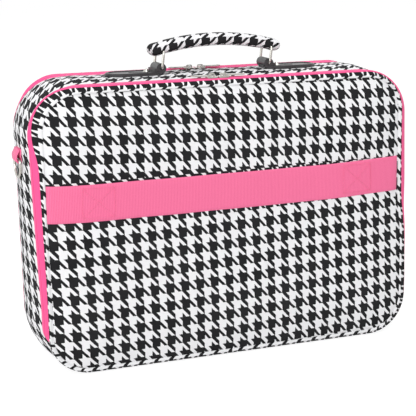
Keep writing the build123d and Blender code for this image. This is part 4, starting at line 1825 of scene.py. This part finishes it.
@dataclass
class Studio:
    """A pale floor, soft lamps and the camera at the photograph's place."""

    focal_px: float = 1199.6
    place: tuple[float, float, float] = (-464.4, -1218.1, 460.1)
    yaw: float = 20.58
    pitch: float = 13.15
    roll: float = -0.54
    surround: float = 0.46
    white: float = 1.22
    shadow_kept: float = 0.72

    def floor(self) -> None:
        """A white floor that keeps half of the shadow, and shows white where the camera looks at it."""
        shader = Shader("studio_floor")
        ray = shader.node("ShaderNodeLightPath", None, None, "Is Camera Ray")
        cloud = shader.noise(shader.object_mm(), 900.0)
        tone = shader.mix(cloud, (0.90, 0.90, 0.90, 1), (0.93, 0.93, 0.93, 1))
        matt = shader.node("ShaderNodeBsdfDiffuse", None, {"Color": tone})
        glow = shader.node("ShaderNodeEmission", None, {"Color": (1, 1, 1, 1), "Strength": self.white})
        surface = shader.node("ShaderNodeMixShader", None, {0: ray * self.shadow_kept, 1: matt, 2: glow})
        shader.node("ShaderNodeOutputMaterial", None, {"Surface": surface})
        mesh = bpy.data.meshes.new("studio_floor")
        mesh.from_pydata([(-6, -6, 0), (6, -6, 0), (6, 6, 0), (-6, 6, 0)], [], [(0, 1, 2, 3)])
        mesh.materials.append(shader.material)
        made = linked("studio_floor", mesh)

    def world(self) -> None:
        """An even white surround that lights at one level and shows as white."""
        world = bpy.data.worlds.new("studio_world")
        bpy.context.scene.world = world
        world.use_nodes = True
        tree = world.node_tree
        back = tree.nodes["Background"]
        path = tree.nodes.new("ShaderNodeLightPath")
        shown, glass = (tree.nodes.new("ShaderNodeMath") for _ in range(2))
        shown.operation = glass.operation = "MAXIMUM"
        level = tree.nodes.new("ShaderNodeMapRange")
        level.inputs["To Min"].default_value = self.surround
        level.inputs["To Max"].default_value = 1.0
        for source, target in (("Camera", glass.inputs[0]), ("Transmission", glass.inputs[1]),
                               ("Glossy", shown.inputs[1])):
            tree.links.new(path.outputs[f"Is {source} Ray"], target)
        tree.links.new(glass.outputs[0], shown.inputs[0])
        tree.links.new(shown.outputs[0], level.inputs["Value"])
        tree.links.new(level.outputs["Result"], back.inputs["Strength"])
        back.inputs["Color"].default_value = (1, 1, 1, 1)

    def lamp(self, name: str, place: Sequence[float], aim: Sequence[float], size: float, power: float) -> None:
        """Adds one soft square lamp.

        Args:
            name: the lamp.
            place: where it hangs, in metres.
            aim: where it points, in metres.
            size: the length of its side in metres.
            power: in watts.
        """
        data = bpy.data.lights.new(name, "AREA")
        data.size = size
        data.energy = power
        made = linked(name, data)
        offset = np.array(aim, float) - np.array(place, float)
        yaw = math.atan2(-offset[0], offset[1])
        tilt = math.atan2(offset[2], math.hypot(offset[0], offset[1]))
        turn = Matrix.Rotation(yaw, 4, "Z") @ Matrix.Rotation(math.pi / 2 + tilt, 4, "X")
        made.matrix_world = Matrix.Translation(place) @ turn

    def camera(self) -> None:
        """The camera that was fitted to the photograph's seams, zips and rings."""
        data = bpy.data.cameras.new("studio_camera")
        data.lens = self.focal_px / IMAGE_WIDTH * data.sensor_width
        data.clip_end = 50
        made = linked("studio_camera", data)
        yaw, pitch, roll = (math.radians(value) for value in (self.yaw, self.pitch, self.roll))
        turn = Matrix.Rotation(-yaw, 4, "Z") @ Matrix.Rotation(math.pi / 2 - pitch, 4, "X") @ Matrix.Rotation(
            roll, 4, "Z")
        made.matrix_world = Matrix.Translation([value * MM for value in self.place]) @ turn
        bpy.context.scene.camera = made

    def build(self) -> None:
        """Sets the stage."""
        self.floor()
        self.world()
        self.lamp("key_lamp", (-1.5, -2.2, 1.9), (0, 0, 0.15), 1.6, 44)
        self.lamp("top_lamp", (0.4, -0.2, 2.4), (0, 0, 0.15), 1.6, 20)
        self.lamp("side_lamp", (-2.6, -0.3, 0.9), (0, 0, 0.15), 1.4, 13)
        self.camera()
        bpy.context.scene.view_settings.view_transform = "Standard"


def main() -> None:
    """Builds the whole case on its frame, piece by piece."""
    logging.basicConfig(level=logging.INFO, format="%(name)s: %(message)s")
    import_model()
    finishes = Finishes()
    outline = CaseOutline()
    Studio().build()
    lids = {side: Lid(outline, finishes, side) for side in Side}
    for side, lid in lids.items():
        lid.build()
        Zip(outline, finishes, side, roofs=(2.0, 4.6) if side is Side.FRONT else (0.4, 0.4)).build()
    TrolleyBand(lids[Side.FRONT], finishes).build()
    Gusset(outline, finishes).build()
    Inside(outline, finishes).build()
    Handle(finishes).build()
    for hand in ("left", "right"):
        SideRing(outline, finishes, hand).build()
        for side in Side:
            dress(f"{side.word}_slider_{hand}", finishes.nickel)
            dress(f"{side.word}_pull_{hand}", finishes.nickel)


if __name__ == "__main__":
    main()
